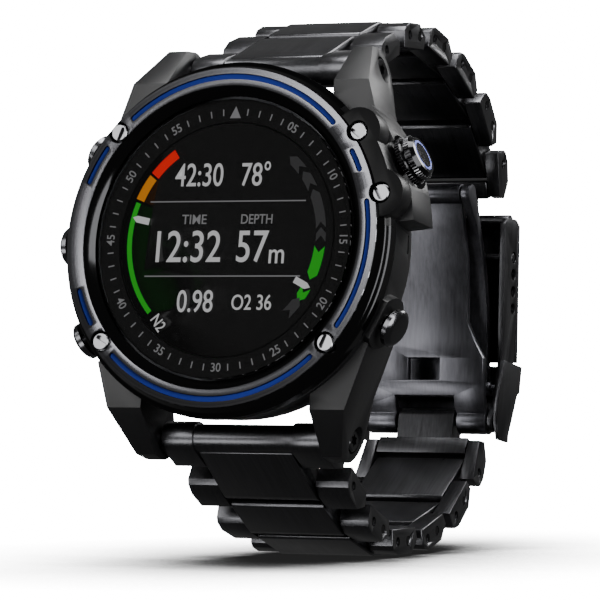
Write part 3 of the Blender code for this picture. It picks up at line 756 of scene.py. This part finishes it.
@dataclass
class Bezel:
    """The bezel ring with its ear, its slots and their blue enamel, and its five screws."""

    finishes: Finishes
    top: float = -1.6
    inner: float = 20.3
    outer: float = 25.5
    land: Point = (21.7, 24.35)
    ear_top: float = -1.1
    lobe_radius: float = 3.4
    slot_radius: float = 23.0
    slot_half_width: float = 0.42
    slot_depth: float = 0.45
    # Where each slot starts and ends on the dial, in degrees.
    slots: tuple[Point, ...] = (
        (318.5, 405.5), (418.6, 425.8), (437.8, 483.0), (497.5, 582.5), (597.6, 610.4), (650.6, 664.0),
    )
    # The angle and the radius of each screw.
    ear_screws: tuple[Point, ...] = ((53.4, 25.0), (75.7, 25.0))
    ring_screws: tuple[Point, ...] = ((130.3, 23.1), (229.8, 23.1), (311.1, 23.1))
    foot: float = 1.9
    lip_radius: float = 20.5
    side_radii: Point = (24.75, 24.95)
    web_radii: Point = (23.8, 26.8)
    ear_round: float = 0.25
    seat_radius: float = 1.55
    seat_depth: float = 1.3
    enamel_gap: float = 0.06
    enamel_depth: float = 0.12
    enamel_rise: float = 0.02
    # The angles between which the ear's outer side is moulded and not metal.
    ear_span: Point = (43.0, 86.0)

    def slot_outline(self, start: float, end: float, half_width: float) -> list[Point]:
        """Draws one slot with rounded ends, bent along the ring.

        Args:
            start: The angle where it starts.
            end: The angle where it ends.
            half_width: Half its width.

        Returns:
            Its outline.
        """
        steps = max(4, int(end - start) // 2)
        angles = [start + (end - start) * step / steps for step in range(steps + 1)]
        outline = [clock(angle, self.slot_radius + half_width) for angle in angles]
        outline += self.slot_end(end, half_width, 1)
        outline += [clock(angle, self.slot_radius - half_width) for angle in reversed(angles)]
        outline += self.slot_end(start, half_width, -1)
        return outline

    def slot_end(self, angle: float, half_width: float, way: int) -> list[Point]:
        """Draws the round end of a slot, without its two corners.

        Args:
            angle: The angle where the slot's straight part ends.
            half_width: Half the slot's width.
            way: 1 at the slot's end, and -1 at its start.

        Returns:
            The points between the corners.
        """
        points = []
        for step in range(1, 6):
            swing = math.radians(90.0 - 30.0 * step) * way
            radius = self.slot_radius + half_width * math.sin(swing)
            forward = way * half_width * math.cos(swing)
            points.append(clock(angle + math.degrees(forward / self.slot_radius), radius))
        return points

    def profile(self) -> list[Point]:
        """Draws the ring's section, with a polished inner lip and a stepped outer side.

        Returns:
            Radius and depth of each point.
        """
        low, high = self.land
        step, shelf = self.side_radii
        lip = [(self.inner, self.foot), (self.inner, -0.5), (self.lip_radius, -0.75)]
        land = [(low - 0.1, self.top + 0.04), (low, self.top), (high - 0.1, self.top), (high, self.top + 0.1)]
        side = [(step, 0.05), (shelf, 0.25), (self.outer - 0.25, 0.35), (self.outer, 0.6)]
        return lip + land + side + [(self.outer, self.foot)]

    def ear(self) -> Shape:
        """Builds the screw ear: a round lobe for each screw, and a web between them.

        Returns:
            The ear, with its edges rounded.
        """
        places = [clock(*place) for place in self.ear_screws]
        lobes = [prism(circle(place, self.lobe_radius, 48), self.ear_top, self.foot) for place in places]
        first, last = self.ear_screws[0][0], self.ear_screws[1][0]
        web = [clock(first + (last - first) * step / 12, self.web_radii[1]) for step in range(13)]
        web += [clock(last - (last - first) * step / 12, self.web_radii[0]) for step in range(13)]
        ear = combined("UNION", prism(web, self.ear_top, self.foot), *lobes)
        return bevelled(ear, self.ear_round)

    def screws(self) -> list[tuple[float, float, float]]:
        """The angle, the radius and the face of each screw."""
        places = [(*place, self.ear_top) for place in self.ear_screws]
        return places + [(*place, self.top) for place in self.ring_screws]

    def build(self) -> None:
        """Builds the ring, the enamel in its slots and the screws."""
        shape = combined("UNION", turned(self.profile(), sides=180), self.ear())
        floor = self.top + self.slot_depth
        for start, end in self.slots:
            outline = self.slot_outline(start, end, self.slot_half_width)
            shape = combined("DIFFERENCE", shape, prism(outline, self.top - 1.0, floor))
        for angle, radius, face in self.screws():
            seat = circle(clock(angle, radius), self.seat_radius, 40)
            shape = combined("DIFFERENCE", shape, prism(seat, face - 1.0, face + self.seat_depth))
        dressing = Dressing(
            "bezel_ring",
            self.finishes.ring,
            nodes=("bezel",),
            slot="bezel_metal",
            grain_frame=dial_plane().inverted() @ WATCH.to_watch,
        )
        self.blacken(finished(shape, dressing))
        for number, (start, end) in enumerate(self.slots, start=1):
            outline = self.slot_outline(start, end, self.slot_half_width - self.enamel_gap)
            inlay = prism(outline, floor - self.enamel_depth, floor + self.enamel_rise)
            finished(inlay, Dressing(f"slot_enamel_{number}", self.finishes.enamel, slot="bezel_metal"))
        self.build_screws()

    def blacken(self, piece: bpy.types.Object) -> None:
        """Gives all but the ring's land its black: polished, and moulded on the ear's outer side.

        Args:
            piece: The finished ring.
        """
        piece.data.materials.append(self.finishes.black)
        piece.data.materials.append(self.finishes.shell)
        for face in piece.data.polygons:
            place = WATCH.to_watch @ face.center
            radius = math.hypot(place.x, place.z)
            angle = math.degrees(math.atan2(place.x, place.z))
            if self.land[0] - 0.05 < radius < self.land[1] + 0.05 and place.y < self.top + 0.05:
                continue
            in_ear = self.ear_span[0] < angle < self.ear_span[1] and place.y > self.top + 0.2
            face.material_index = 2 if in_ear and radius > self.land[1] + 0.25 else 1

    def build_screws(self) -> None:
        """Builds the screw heads, each with a wedge-shaped slot beside two cut facets."""
        for number, (angle, radius, top) in enumerate(self.screws(), start=1):
            head = turned([(0.0, 0.1), (1.1, 0.1), (1.25, 0.25), (1.25, 1.0), (0.0, 1.0)], sides=48)
            outline = [(-0.95, 0.85), (-0.45, 0.95), (0.25, -0.8), (-0.05, -1.05), (-0.5, -0.75)]
            wedge = prism(outline, -0.5, 0.75)
            side_cut = prism([(0.15, 1.3), (1.4, 0.35), (1.4, 1.4)], -0.5, 0.55)
            lower_cut = prism([(0.45, -1.3), (1.4, -0.25), (1.4, -1.4)], -0.5, 0.55)
            head = combined("DIFFERENCE", head, wedge, side_cut, lower_cut)
            x, z = clock(angle, radius)
            place = Matrix.Translation((x, top, z)) @ Matrix.Rotation(math.radians(angle - 90.0), 4, "Y")
            name = f"bezel_screw_{number}"
            dressing = Dressing(f"{name}_head", self.finishes.steel, nodes=(name,), slot="screw_metal")
            finished(moved(head, place), dressing)


@dataclass
class Dial:
    """The dial ring's minute scale and the screen's marks, under the lens."""

    finishes: Finishes
    ring_face: float = 0.7
    screen_face: float = 0.75
    thickness: float = 0.05
    scale_radius: float = 18.2
    # Each minute tick's width and length.
    tick: Point = (0.16, 0.95)
    numeral_size: float = 1.26
    # How far marks stand clear of the face that they lie on.
    clearance: float = 0.005
    # A figure's height and its strokes' thickening, as shares of the font's size and of its height.
    figure_share: float = 0.72
    thickening: float = 0.006

    def flat(self, outline: Sequence[Point], face: float) -> Shape:
        """A thin mark on a face, its outline seen from the front."""
        return prism(outline, face - self.thickness, face - self.clearance)

    def mark(self, name: str, shapes: Sequence[Shape], ink: Ink) -> None:
        """Finishes marks of one ink as one piece."""
        finished(gathered(shapes), Dressing(name, self.finishes.inks[ink], slot="dial_black"))

    def lettering(
        self, text: str, size: float, place: Point, face: float, turn: float = 0.0, narrow: float = 1.0
    ) -> Shape:
        """Cuts figures as flat shapes.

        Args:
            text: The figures.
            size: Their height in millimetres.
            place: Their middle, seen from the front.
            face: The face that they lie on.
            turn: How far they are turned clockwise, in degrees.
            narrow: Their width as a share of the font's own.

        Returns:
            The figures in the head's frame.
        """
        curve = bpy.data.curves.new("figures", "FONT")
        curve.body = text
        curve.align_x = "CENTER"
        curve.align_y = "CENTER"
        curve.size = size / self.figure_share
        curve.offset = self.thickening * size
        curve.extrude = self.thickness / 2
        curve.resolution_u = 6
        item = bpy.data.objects.new("figures", curve)
        bpy.context.scene.collection.objects.link(item)
        shape = baked(item)
        bmesh.ops.remove_doubles(shape, verts=shape.verts, dist=WELD)
        bmesh.ops.recalc_face_normals(shape, faces=shape.faces)
        put = Matrix.Translation((*place, self.thickness / 2 - face))
        lean = Matrix.Rotation(-math.radians(turn), 4, "Z")
        return moved(shape, dial_plane() @ put @ lean @ Matrix.Diagonal((narrow, 1.0, 1.0, 1.0)))

    def build_scale(self) -> None:
        """Builds the minute ticks, the figures of every fifth minute and the mark at 12."""
        half_width, length = self.tick[0] / 2, self.tick[1]
        low, high = self.scale_radius - length / 2, self.scale_radius + length / 2
        tick = [(-half_width, low), (half_width, low), (half_width, high), (-half_width, high)]
        flat_tick = prism(tick, self.clearance, self.thickness, axis=Axis.Z)
        ticks = repeated(flat_tick, 60, 5, self.finishes.inks[Ink.MARK])
        moved(ticks, dial_plane() @ Matrix.Translation((0.0, 0.0, -self.ring_face)))
        figures = []
        for minute in range(5, 60, 5):
            angle = minute * 6.0
            turn = angle + 180.0 if 90.0 < angle < 270.0 else angle
            place = clock(angle, self.scale_radius)
            text = f"{minute:02d}"
            figures.append(self.lettering(text, self.numeral_size, place, self.ring_face, turn, 0.95))
        pointer = self.flat([(-0.85, 17.3), (0.85, 17.3), (0.0, 19.0)], self.ring_face)
        self.mark("minute_scale", [ticks, *figures, pointer], Ink.MARK)

    def gauge(self, start: float, end: float, inner: float, outer: float, point: float = 0.0) -> Shape:
        """Builds one bar of a bent gauge.

        Args:
            start: The angle where it starts.
            end: The angle where it ends.
            inner: Its inner radius.
            outer: Its outer radius.
            point: How many degrees both ends are drawn on, to make a chevron of it.

        Returns:
            The bar.
        """
        steps = max(2, int(abs(end - start)) // 3)
        angles = [start + (end - start) * step / steps for step in range(steps + 1)]
        outline = [clock(angle, outer) for angle in angles]
        outline.append(clock(end + point, (inner + outer) / 2))
        outline += [clock(angle, inner) for angle in reversed(angles)]
        outline.append(clock(start + point, (inner + outer) / 2))
        return self.flat(outline, self.screen_face)

    def pointer(self, angle: float, tip: float, way: float) -> Shape:
        """Builds a pointer that lies across a gauge.

        Args:
            angle: The angle that it points out at.
            tip: The radius of its tip.
            way: How far the tip stands to the side.

        Returns:
            The pointer, just in front of the gauge.
        """
        outline = [(tip - 2.7, -0.48), (tip - 0.7, -0.48), (tip, way), (tip - 0.7, 0.48), (tip - 2.7, 0.48)]
        turned_outline = []
        for along, across in outline:
            x, z = clock(angle, along)
            side_x, side_z = clock(angle + 90.0, across)
            turned_outline.append((x + side_x, z + side_z))
        return prism(turned_outline, self.screen_face - 0.1, self.screen_face - 0.06)

    def build_screen(self) -> None:
        """Builds the readings, their rules and the two bent gauges."""
        face = self.screen_face
        rules = []
        for low, high in ((5.35, 5.52), (-5.3, -5.13)):
            rules.append(self.flat([(-12.4, low), (12.0, low), (12.0, high), (-12.4, high)], face))
        readings = [
            self.lettering("42:30", 3.35, (-4.95, 9.05), face, narrow=0.74),
            self.lettering("78°", 3.35, (3.95, 9.05), face, narrow=0.74),
            self.lettering("12:32", 4.6, (-6.2, -1.25), face, narrow=0.8),
            self.lettering("57", 4.6, (4.15, -1.25), face, narrow=0.8),
            self.lettering("m", 3.0, (8.1, -2.15), face, narrow=0.85),
            self.lettering("0.98", 3.2, (-4.1, -8.95), face, narrow=0.76),
            self.lettering("O2 36", 2.2, (4.75, -9.05), face, narrow=0.8),
            self.lettering("N2", 1.7, (-9.7, -11.9), face, 52.0, 0.8),
        ]
        labels = [
            self.lettering("TIME", 1.4, (-5.2, 2.8), face, narrow=0.95),
            self.lettering("DEPTH", 1.4, (4.6, 2.8), face, narrow=0.85),
        ]
        pointers = [self.pointer(281.8, 15.3, 0.1), self.pointer(117.0, 15.3, -0.1)]
        self.mark("screen_rules", rules + labels, Ink.MARK)
        self.mark("screen_readings", readings + pointers, Ink.PALE)
        self.mark("gauge_green", [
            self.gauge(227.0, 290.4, 14.85, 15.6),
            self.gauge(94.0, 109.5, 13.9, 15.5, 3.4),
            self.gauge(117.5, 123.0, 14.0, 15.5, 3.4),
        ], Ink.GREEN)
        self.mark("gauge_amber", [self.gauge(292.0, 306.0, 14.5, 15.8)], Ink.AMBER)
        self.mark("gauge_red", [self.gauge(307.5, 324.5, 14.4, 15.8)], Ink.RED)
        greys = [(41.0, 49.0), (53.0, 61.0), (65.0, 84.0), (87.0, 91.5), (127.5, 136.0)]
        self.mark("gauge_grey", [self.gauge(start, end, 14.0, 15.5, -3.4) for start, end in greys], Ink.GREY)


@dataclass
class Case:
    """The case, its back, its screws and what is sealed inside."""

    finishes: Finishes
    edge_round: float = 0.3
    # Half a lug bar's length, and where its heads end on the inside.
    bar_half: float = 16.7
    head_inner: float = 15.9
    socket_radii: Point = (0.6, 0.95)
    socket_depth: float = 0.55

    def build(self) -> None:
        """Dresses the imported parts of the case, with their edges rounded."""
        look = self.finishes
        plans = {
            "case_body": (look.shell, "case_shell", self.edge_round),
            "case_back": (look.shell, "case_shell", 0.25),
            "sensor_window": (look.screen, "dial_black", 0.1),
            "lens": (look.sapphire, "lens_glass", 0.12),
            "dial_ring": (look.dial, "dial_black", 0.0),
            "display": (look.screen, "dial_black", 0.0),
            "display_frame": (look.cell, "chassis_metal", 0.1),
            "front_gasket": (look.rubber, "gasket_rubber", 0.08),
            "back_gasket": (look.rubber, "gasket_rubber", 0.08),
            "main_board": (look.board, "circuit_board", 0.1),
            "battery": (look.cell, "battery_wrap", 0.4),
            "vibration_motor": (look.steel, "screw_metal", 0.2),
            "pressure_sensor": (look.steel, "screw_metal", 0.2),
            "charging_contacts": (look.gold, "contact_gold", 0.08),
        }
        for node, (material, slot, width) in plans.items():
            shape = copied(node, WATCH.to_watch)
            if width:
                shape = bevelled(shape, width)
            finished(shape, Dressing(f"{node}_finished", material, nodes=(node,), slot=slot))

    def build_lug_screws(self) -> None:
        """Builds the bars through the lugs, with a star-shaped socket in each head."""
        for name in ("lug_bar_upper", "lug_bar_lower"):
            low, high = (WATCH.to_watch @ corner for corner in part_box(name))
            middle = (low + high) / 2
            half, inner = self.bar_half, self.head_inner
            centred = WATCH.to_world @ Matrix.Translation((0.0, middle.y, middle.z))
            profile = [(0.0, -half), (1.35, -half), (1.6, -half + 0.25), (1.6, -inner), (1.2, -inner)]
            profile += [(radius, -along) for radius, along in reversed(profile)]
            bar = turned(profile, Axis.X, sides=40)
            star = []
            for point in range(12):
                radius, swing = self.socket_radii[point % 2], math.tau * point / 12
                star.append((radius * math.cos(swing), radius * math.sin(swing)))
            for face in (-half, half):
                socket = prism(star, face - self.socket_depth, face + self.socket_depth, Axis.X)
                bar = combined("DIFFERENCE", bar, socket)
            dressing = Dressing(f"{name}_finished", self.finishes.button, nodes=(name,), slot="screw_metal")
            finished(bar, dressing, centred)


@dataclass
class Buttons:
    """The crown-shaped button with its knurled grip, and the four plain ones."""

    finishes: Finishes
    crown_angle: float = 64.5
    crown_depth: float = 6.0
    plain_depth: float = 5.5
    plain_angles: tuple[float, ...] = (115.3, 240.0, 270.0, 300.0)
    plain_names: tuple[str, ...] = ("lower_right", "left_lower", "left_middle", "left_upper")
    # Radius and height of each point of a button's stem, which starts inside the case.
    stem: tuple[Point, ...] = ((0.0, 20.9), (1.1, 20.9))
    # Each band of knurls: where it starts and ends along the crown, and its radius.
    knurl_bands: tuple[tuple[float, float, float], ...] = ((27.3, 28.05, 3.42), (28.55, 29.3, 3.15))
    teeth: int = 44
    tooth_half: float = 0.13

    def dressing(self, name: str, material: bpy.types.Material, button: str, stands: bool) -> Dressing:
        """What a piece of a button becomes."""
        return Dressing(name, material, body=button, nodes=(button,) if stands else (), slot="button_metal")

    def build_crown(self) -> None:
        """Builds the crown's turned body, two bands of knurls and the blue ring in its end."""
        place = WATCH.to_world @ facing(self.crown_angle, self.crown_depth)
        profile = [*self.stem, (1.1, 27.2), (3.3, 27.2), (3.5, 27.35), (3.5, 28.0), (3.3, 28.2)]
        profile += [(3.0, 28.2), (3.0, 28.5), (3.2, 28.5), (3.2, 29.3), (2.95, 29.6), (2.75, 29.9)]
        profile += [(2.3, 29.95), (2.3, 29.8), (1.85, 29.8), (1.85, 29.95), (0.0, 30.0)]
        body = turned(profile, Axis.Z, sides=72)
        finished(body, self.dressing("crown_body", self.finishes.black, "button_crown", True), place)
        steel, half = self.finishes.steel, self.tooth_half
        for number, (start, end, radius) in enumerate(self.knurl_bands, start=1):
            tooth = prism([(radius, -half), (radius + 0.17, 0.0), (radius, half)], start, end, Axis.Z)
            # A gap number above the count leaves out only the first place.
            teeth = repeated(tooth, self.teeth, self.teeth + 1, steel)
            finished(teeth, self.dressing(f"crown_knurl_{number}", steel, "button_crown", False), place)
        ring = turned([(1.9, 29.82), (2.25, 29.82), (2.25, 29.92), (1.9, 29.92)], Axis.Z, sides=72)
        dressing = self.dressing("crown_enamel_ring", self.finishes.enamel, "button_crown", False)
        finished(ring, dressing, place)

    def build_plain(self) -> None:
        """Builds the plain buttons, each a turned cap with a coned, dished face."""
        profile = [*self.stem, (1.1, 26.9), (2.6, 26.9), (2.75, 27.05), (2.75, 27.7), (2.6, 27.9)]
        profile += [(2.1, 28.25), (1.9, 28.28), (0.0, 28.12)]
        for name, angle in zip(self.plain_names, self.plain_angles):
            button = f"button_{name}"
            place = WATCH.to_world @ facing(angle, self.plain_depth)
            cap = turned(profile, Axis.Z, sides=64)
            finished(cap, self.dressing(f"{button}_cap", self.finishes.button, button, True), place)


@dataclass
class Bracelet:
    """The end links and the twelve rows, each an outer link and a centre link."""

    finishes: Finishes
    rows: int = 6
    outer_round: float = 0.28
    centre_round: float = 0.22
    pin_end_radius: float = 0.62
    pin_gap: float = 0.12
    pin_sides: int = 20
    # How deep the wells are at the pins' ends, and how far in from the side the ends lie.
    well_depth: float = 0.75
    pin_end_inset: float = 0.6
    fixing_bar: float = 3.9

    def row_frame(self, chain: str, row: int) -> Matrix:
        """Finds the frame of a row from the joints at its two ends.

        Args:
            chain: The upper or the lower half.
            row: The row's number, or 0 for the end link.

        Returns:
            The matrix from the row's millimetres, with Y along the chain, to the row frame.
        """
        hinges = [joint for joint in frame["joints"] if joint["type"] == "hinge"]
        joints = {joint["name"]: Vector(joint["pos_m"]) for joint in hinges}
        far_ends = {"upper": "adjust_link_turn", "lower": "blade_inner_turn"}
        bar_low, bar_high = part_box(f"lug_bar_{chain}")
        start = joints[f"{chain}_row_{row}_turn"] if row else (bar_low + bar_high) / 2
        end = joints[f"{chain}_row_{row + 1}_turn"] if row < self.rows else joints[far_ends[chain]]
        along = (end - start).normalized()
        across = Vector((1.0, 0.0, 0.0))
        turn = Matrix((across, along, across.cross(along))).transposed().to_4x4()
        return Matrix.Translation(start) @ turn @ Matrix.Scale(MM, 4)

    def build_link(
        self, node: str, body: str, place: Matrix, width: float, pin_places: Sequence[float] = ()
    ) -> None:
        """Dresses one link.

        Args:
            node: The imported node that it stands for.
            body: The body that it rides on.
            place: The matrix from the row's millimetres to the row frame.
            width: The width of its rounded edges.
            pin_places: How far along the row its pins end on its outer faces.
        """
        shape = copied(node, place.inverted())
        half = max(corner.co.x for corner in shape.verts)
        shape = bevelled(shape, width)
        if pin_places:
            wells = []
            for along in pin_places:
                outline = circle((along, 0.0), self.pin_end_radius + self.pin_gap, self.pin_sides)
                for side in (-half, half):
                    wells.append(prism(outline, side - self.well_depth, side + self.well_depth, Axis.X))
            shape = combined("DIFFERENCE", shape, gathered(wells))
        finished(shape, Dressing(f"{node}_finished", self.finishes.link, body, (node,)), place)
        for number, along in enumerate(pin_places, start=1):
            outline = circle((along, 0.0), self.pin_end_radius, self.pin_sides)
            middle = half - self.pin_end_inset
            ends = [prism(outline, side - 0.2, side + 0.2, Axis.X) for side in (-middle, middle)]
            finished(gathered(ends), Dressing(f"{node}_pin_ends_{number}", self.finishes.black, body), place)

    def build(self) -> None:
        """Dresses both halves of the bracelet."""
        for chain in ("upper", "lower"):
            self.build_link(f"end_link_{chain}", "root", self.row_frame(chain, 0), self.centre_round)
            for row in range(1, self.rows + 1):
                place = self.row_frame(chain, row)
                body = f"{chain}_row_{row}"
                pins = (0.0,) if row in (1, self.rows) else (0.0, self.fixing_bar)
                self.build_link(f"{chain}_outer_{row}", body, place, self.outer_round, pins)
                self.build_link(f"{chain}_centre_{row}", body, place, self.centre_round)


@dataclass
class Clasp:
    """The folding clasp: two blades, the cover, the flip lock and the adjusting link."""

    finishes: Finishes

    def build(self) -> None:
        """Dresses the clasp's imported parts, with their edges rounded."""
        look = self.finishes
        plans = {
            "blade_inner": (look.blade, "blade_inner", "blade_metal", 0.2),
            "blade_outer": (look.blade, "blade_outer", "blade_metal", 0.2),
            "clasp_cover": (look.link, "clasp_cover", "link_metal", 0.2),
            "flip_lock": (look.link, "flip_lock", "link_metal", 0.2),
            "adjust_link": (look.link, "adjust_link", "link_metal", 0.2),
            "spring_bar_lower": (look.steel, "blade_inner", "screw_metal", 0.15),
        }
        for node, (material, body, slot, width) in plans.items():
            shape = bevelled(copied(node, WATCH.to_watch), width)
            grain_frame = Matrix.Rotation(math.radians(90.0), 4, "X") @ WATCH.to_watch
            finished(shape, Dressing(f"{node}_finished", material, body, (node,), slot, grain_frame))


@dataclass
class Studio:
    """A pale floor with a painted contact shadow, soft lights, and the camera."""

    camera_place: Vector
    look_along: Vector
    lens_mm: float = 283.3
    white: float = 24.0
    surround: float = 0.12
    shadow_reach: float = 0.08
    # How fast the painted contact shadow fades, and what is left of the paper's glow in its depth.
    shade_power: float = 8.0
    shade_floor: float = 0.02
    floor_half: float = 4.0
    # The floor lies a hair below the row's zero, so that the links don't sink into it.
    floor_drop: float = 0.0002
    unlit: tuple[str, ...] = (
        "lens_finished", "dial_ring_finished", "display_finished", "minute_scale", "screen_rules",
        "screen_readings", "gauge_green", "gauge_amber", "gauge_red", "gauge_grey",
    )

    def build_camera(self) -> None:
        """Sets the camera level with the watch, looking past the dial's 3 o'clock side."""
        camera = bpy.data.cameras.new("camera")
        camera.lens = self.lens_mm
        camera.sensor_width = 36.0
        camera.clip_end = 20.0
        item = bpy.data.objects.new("camera", camera)
        item.location = self.camera_place
        item.rotation_euler = self.look_along.to_track_quat("-Z", "Y").to_euler()
        bpy.context.scene.collection.objects.link(item)
        bpy.context.scene.camera = item

    def paper(self, name: str, reach: float) -> bpy.types.Material:
        """White glowing paper with a painted contact shadow: ambient occlusion dims its glow close under the
        watch.

        Args:
            name: The material's name.
            reach: How far the painted shadow reaches from what stands on the paper, in metres.

        Returns:
            The finish.
        """
        material, tree = new_material(name)
        shade = add_node(tree, "ShaderNodeAmbientOcclusion", {"Distance": reach}, samples=16)
        fading = {0: shade.outputs["AO"], 1: self.shade_power}
        deep = add_node(tree, "ShaderNodeMath", fading, operation="POWER").outputs["Value"]
        strength = ranged(tree, deep, self.shade_floor, self.white)
        light = add_node(tree, "ShaderNodeEmission", {"Strength": strength})
        add_node(tree, "ShaderNodeOutputMaterial", {"Surface": light.outputs[0]})
        return material

    def add_sheet(self, name: str, corners: Sequence[Sequence[float]], material: bpy.types.Material) -> None:
        """Adds a flat sheet that the camera sees and no reflection does.

        Args:
            name: The sheet's name.
            corners: Its four corners in metres.
            material: Its material.
        """
        mesh = bpy.data.meshes.new(name)
        mesh.from_pydata(corners, [], [(0, 1, 2, 3)])
        mesh.materials.append(material)
        sheet = bpy.data.objects.new(name, mesh)
        sheet.visible_diffuse = False
        sheet.visible_glossy = False
        sheet.visible_transmission = False
        bpy.context.scene.collection.objects.link(sheet)

    def build_floor(self) -> None:
        """Builds a wide white floor with a painted contact shadow, a white backdrop and a dim surround."""
        half, drop = self.floor_half, -self.floor_drop
        floor = [(-half, -half, drop), (half, -half, drop), (half, half, drop), (-half, half, drop)]
        # The floor's shadow under the watch is painted: ambient occlusion dims its glow, and no lamp casts it.
        self.add_sheet("studio_floor", floor, self.paper("floor_paper_with_painted_shadow", self.shadow_reach))
        back = half + 0.2
        wall = [(-9.0, back, -1.0), (9.0, back, -1.0), (9.0, back, 6.0), (-9.0, back, 6.0)]
        self.add_sheet("studio_backdrop", wall, self.paper("backlit_wall_paper", 0.001))
        world = bpy.data.worlds.new("studio_surround")
        world.use_nodes = True
        world.node_tree.nodes.clear()
        dim = {"Color": (1.0, 1.0, 1.0, 1.0), "Strength": self.surround}
        light = add_node(world.node_tree, "ShaderNodeBackground", dim)
        add_node(world.node_tree, "ShaderNodeOutputWorld", {"Surface": light.outputs[0]})
        bpy.context.scene.world = world

    def add_panel(
        self,
        name: str,
        place: Vector,
        target: Vector,
        size: Point,
        power: float,
        only: Sequence[str] = (),
        spared: Sequence[str] = (),
    ) -> None:
        """Adds a soft panel light, flagged off the lens and the dial, which stay clear of its glare.

        Args:
            name: The light's name.
            place: Where it stands.
            target: What it faces.
            size: Its width and height in metres.
            power: Its power in watts.
            only: The pieces that it lights, or all but the lens and the dial if left out.
            spared: More pieces that it doesn't light.
        """
        light = bpy.data.lights.new(name, "AREA")
        light.shape = "RECTANGLE"
        light.size, light.size_y = size
        light.energy = power
        item = bpy.data.objects.new(name, light)
        item.location = place
        item.rotation_euler = (target - place).to_track_quat("-Z", "Y").to_euler()
        item.visible_camera = False
        bpy.context.scene.collection.objects.link(item)
        lit = bpy.data.collections.new(f"{name}_receivers")
        for piece in only or (*self.unlit, *spared):
            lit.objects.link(bpy.data.objects[piece])
        if not only:
            for entry in lit.collection_objects:
                entry.light_linking.link_state = "EXCLUDE"
        item.light_linking.receiver_collection = lit

    def mirrored_place(self, spot: Vector, normal: Vector, distance: float) -> Vector:
        """Where a light stands for a flat spot to mirror it into the camera."""
        sight = (spot - self.camera_place).normalized()
        return spot + sight.reflect(normal) * distance

    def build_lights(self) -> None:
        """Sets a small light for the bezel's upper right, and broad soft lights round the watch."""
        middle = Vector((0.0, 0.0, 0.038))
        x, z = clock(58.0, 24.0)
        spot = WATCH.to_world @ Vector((x, Bezel.top, z))
        dial_out = -(WATCH.to_world.to_3x3() @ Vector((0.0, 1.0, 0.0))).normalized()
        glow = self.mirrored_place(spot, dial_out, 0.16)
        ring = ("bezel_ring", *[f"slot_enamel_{number}" for number in range(1, 7)])
        self.add_panel("ring_glow", glow, spot, (0.03, 0.04), 0.04, only=("bezel_ring",))
        self.add_panel("top_box", Vector((0.05, -0.05, 0.6)), middle, (0.45, 0.3), 10.0, spared=ring)
        self.add_panel("front_box", Vector((-0.15, -0.6, 0.3)), middle, (0.5, 0.4), 5.0, spared=ring)
        self.add_panel("low_box", Vector((-0.2, -0.6, -0.2)), middle, (0.5, 0.2), 3.0, spared=ring)
        self.add_panel("right_box", Vector((0.55, -0.3, 0.10)), middle, (0.4, 0.5), 9.0)
        self.add_panel("left_box", Vector((-0.5, -0.35, 0.15)), middle, (0.12, 0.5), 2.0, spared=ring)
        self.add_panel("back_box", Vector((0.3, 0.5, 0.35)), middle, (0.3, 0.2), 3.0)


def camera_view() -> tuple[Vector, Vector]:
    """Finds the camera's place and the way that it looks.

    Returns:
        Its place in the row frame, and a level direction.
    """
    azimuth = math.radians(CAMERA_TURN)
    look = Vector((-math.sin(azimuth), math.cos(azimuth), 0.0))
    return WATCH.to_world.translation + Vector(CAMERA_OFFSET), look


def main() -> None:
    """Builds the watch and the studio round it."""
    logging.basicConfig(level=logging.INFO)
    finishes = Finishes()
    Bezel(finishes).build()
    dial = Dial(finishes)
    dial.build_scale()
    dial.build_screen()
    case = Case(finishes)
    case.build()
    case.build_lug_screws()
    buttons = Buttons(finishes)
    buttons.build_crown()
    buttons.build_plain()
    Bracelet(finishes).build()
    Clasp(finishes).build()
    studio = Studio(*camera_view())
    studio.build_camera()
    studio.build_floor()
    studio.build_lights()


if __name__ == "__main__":
    main()
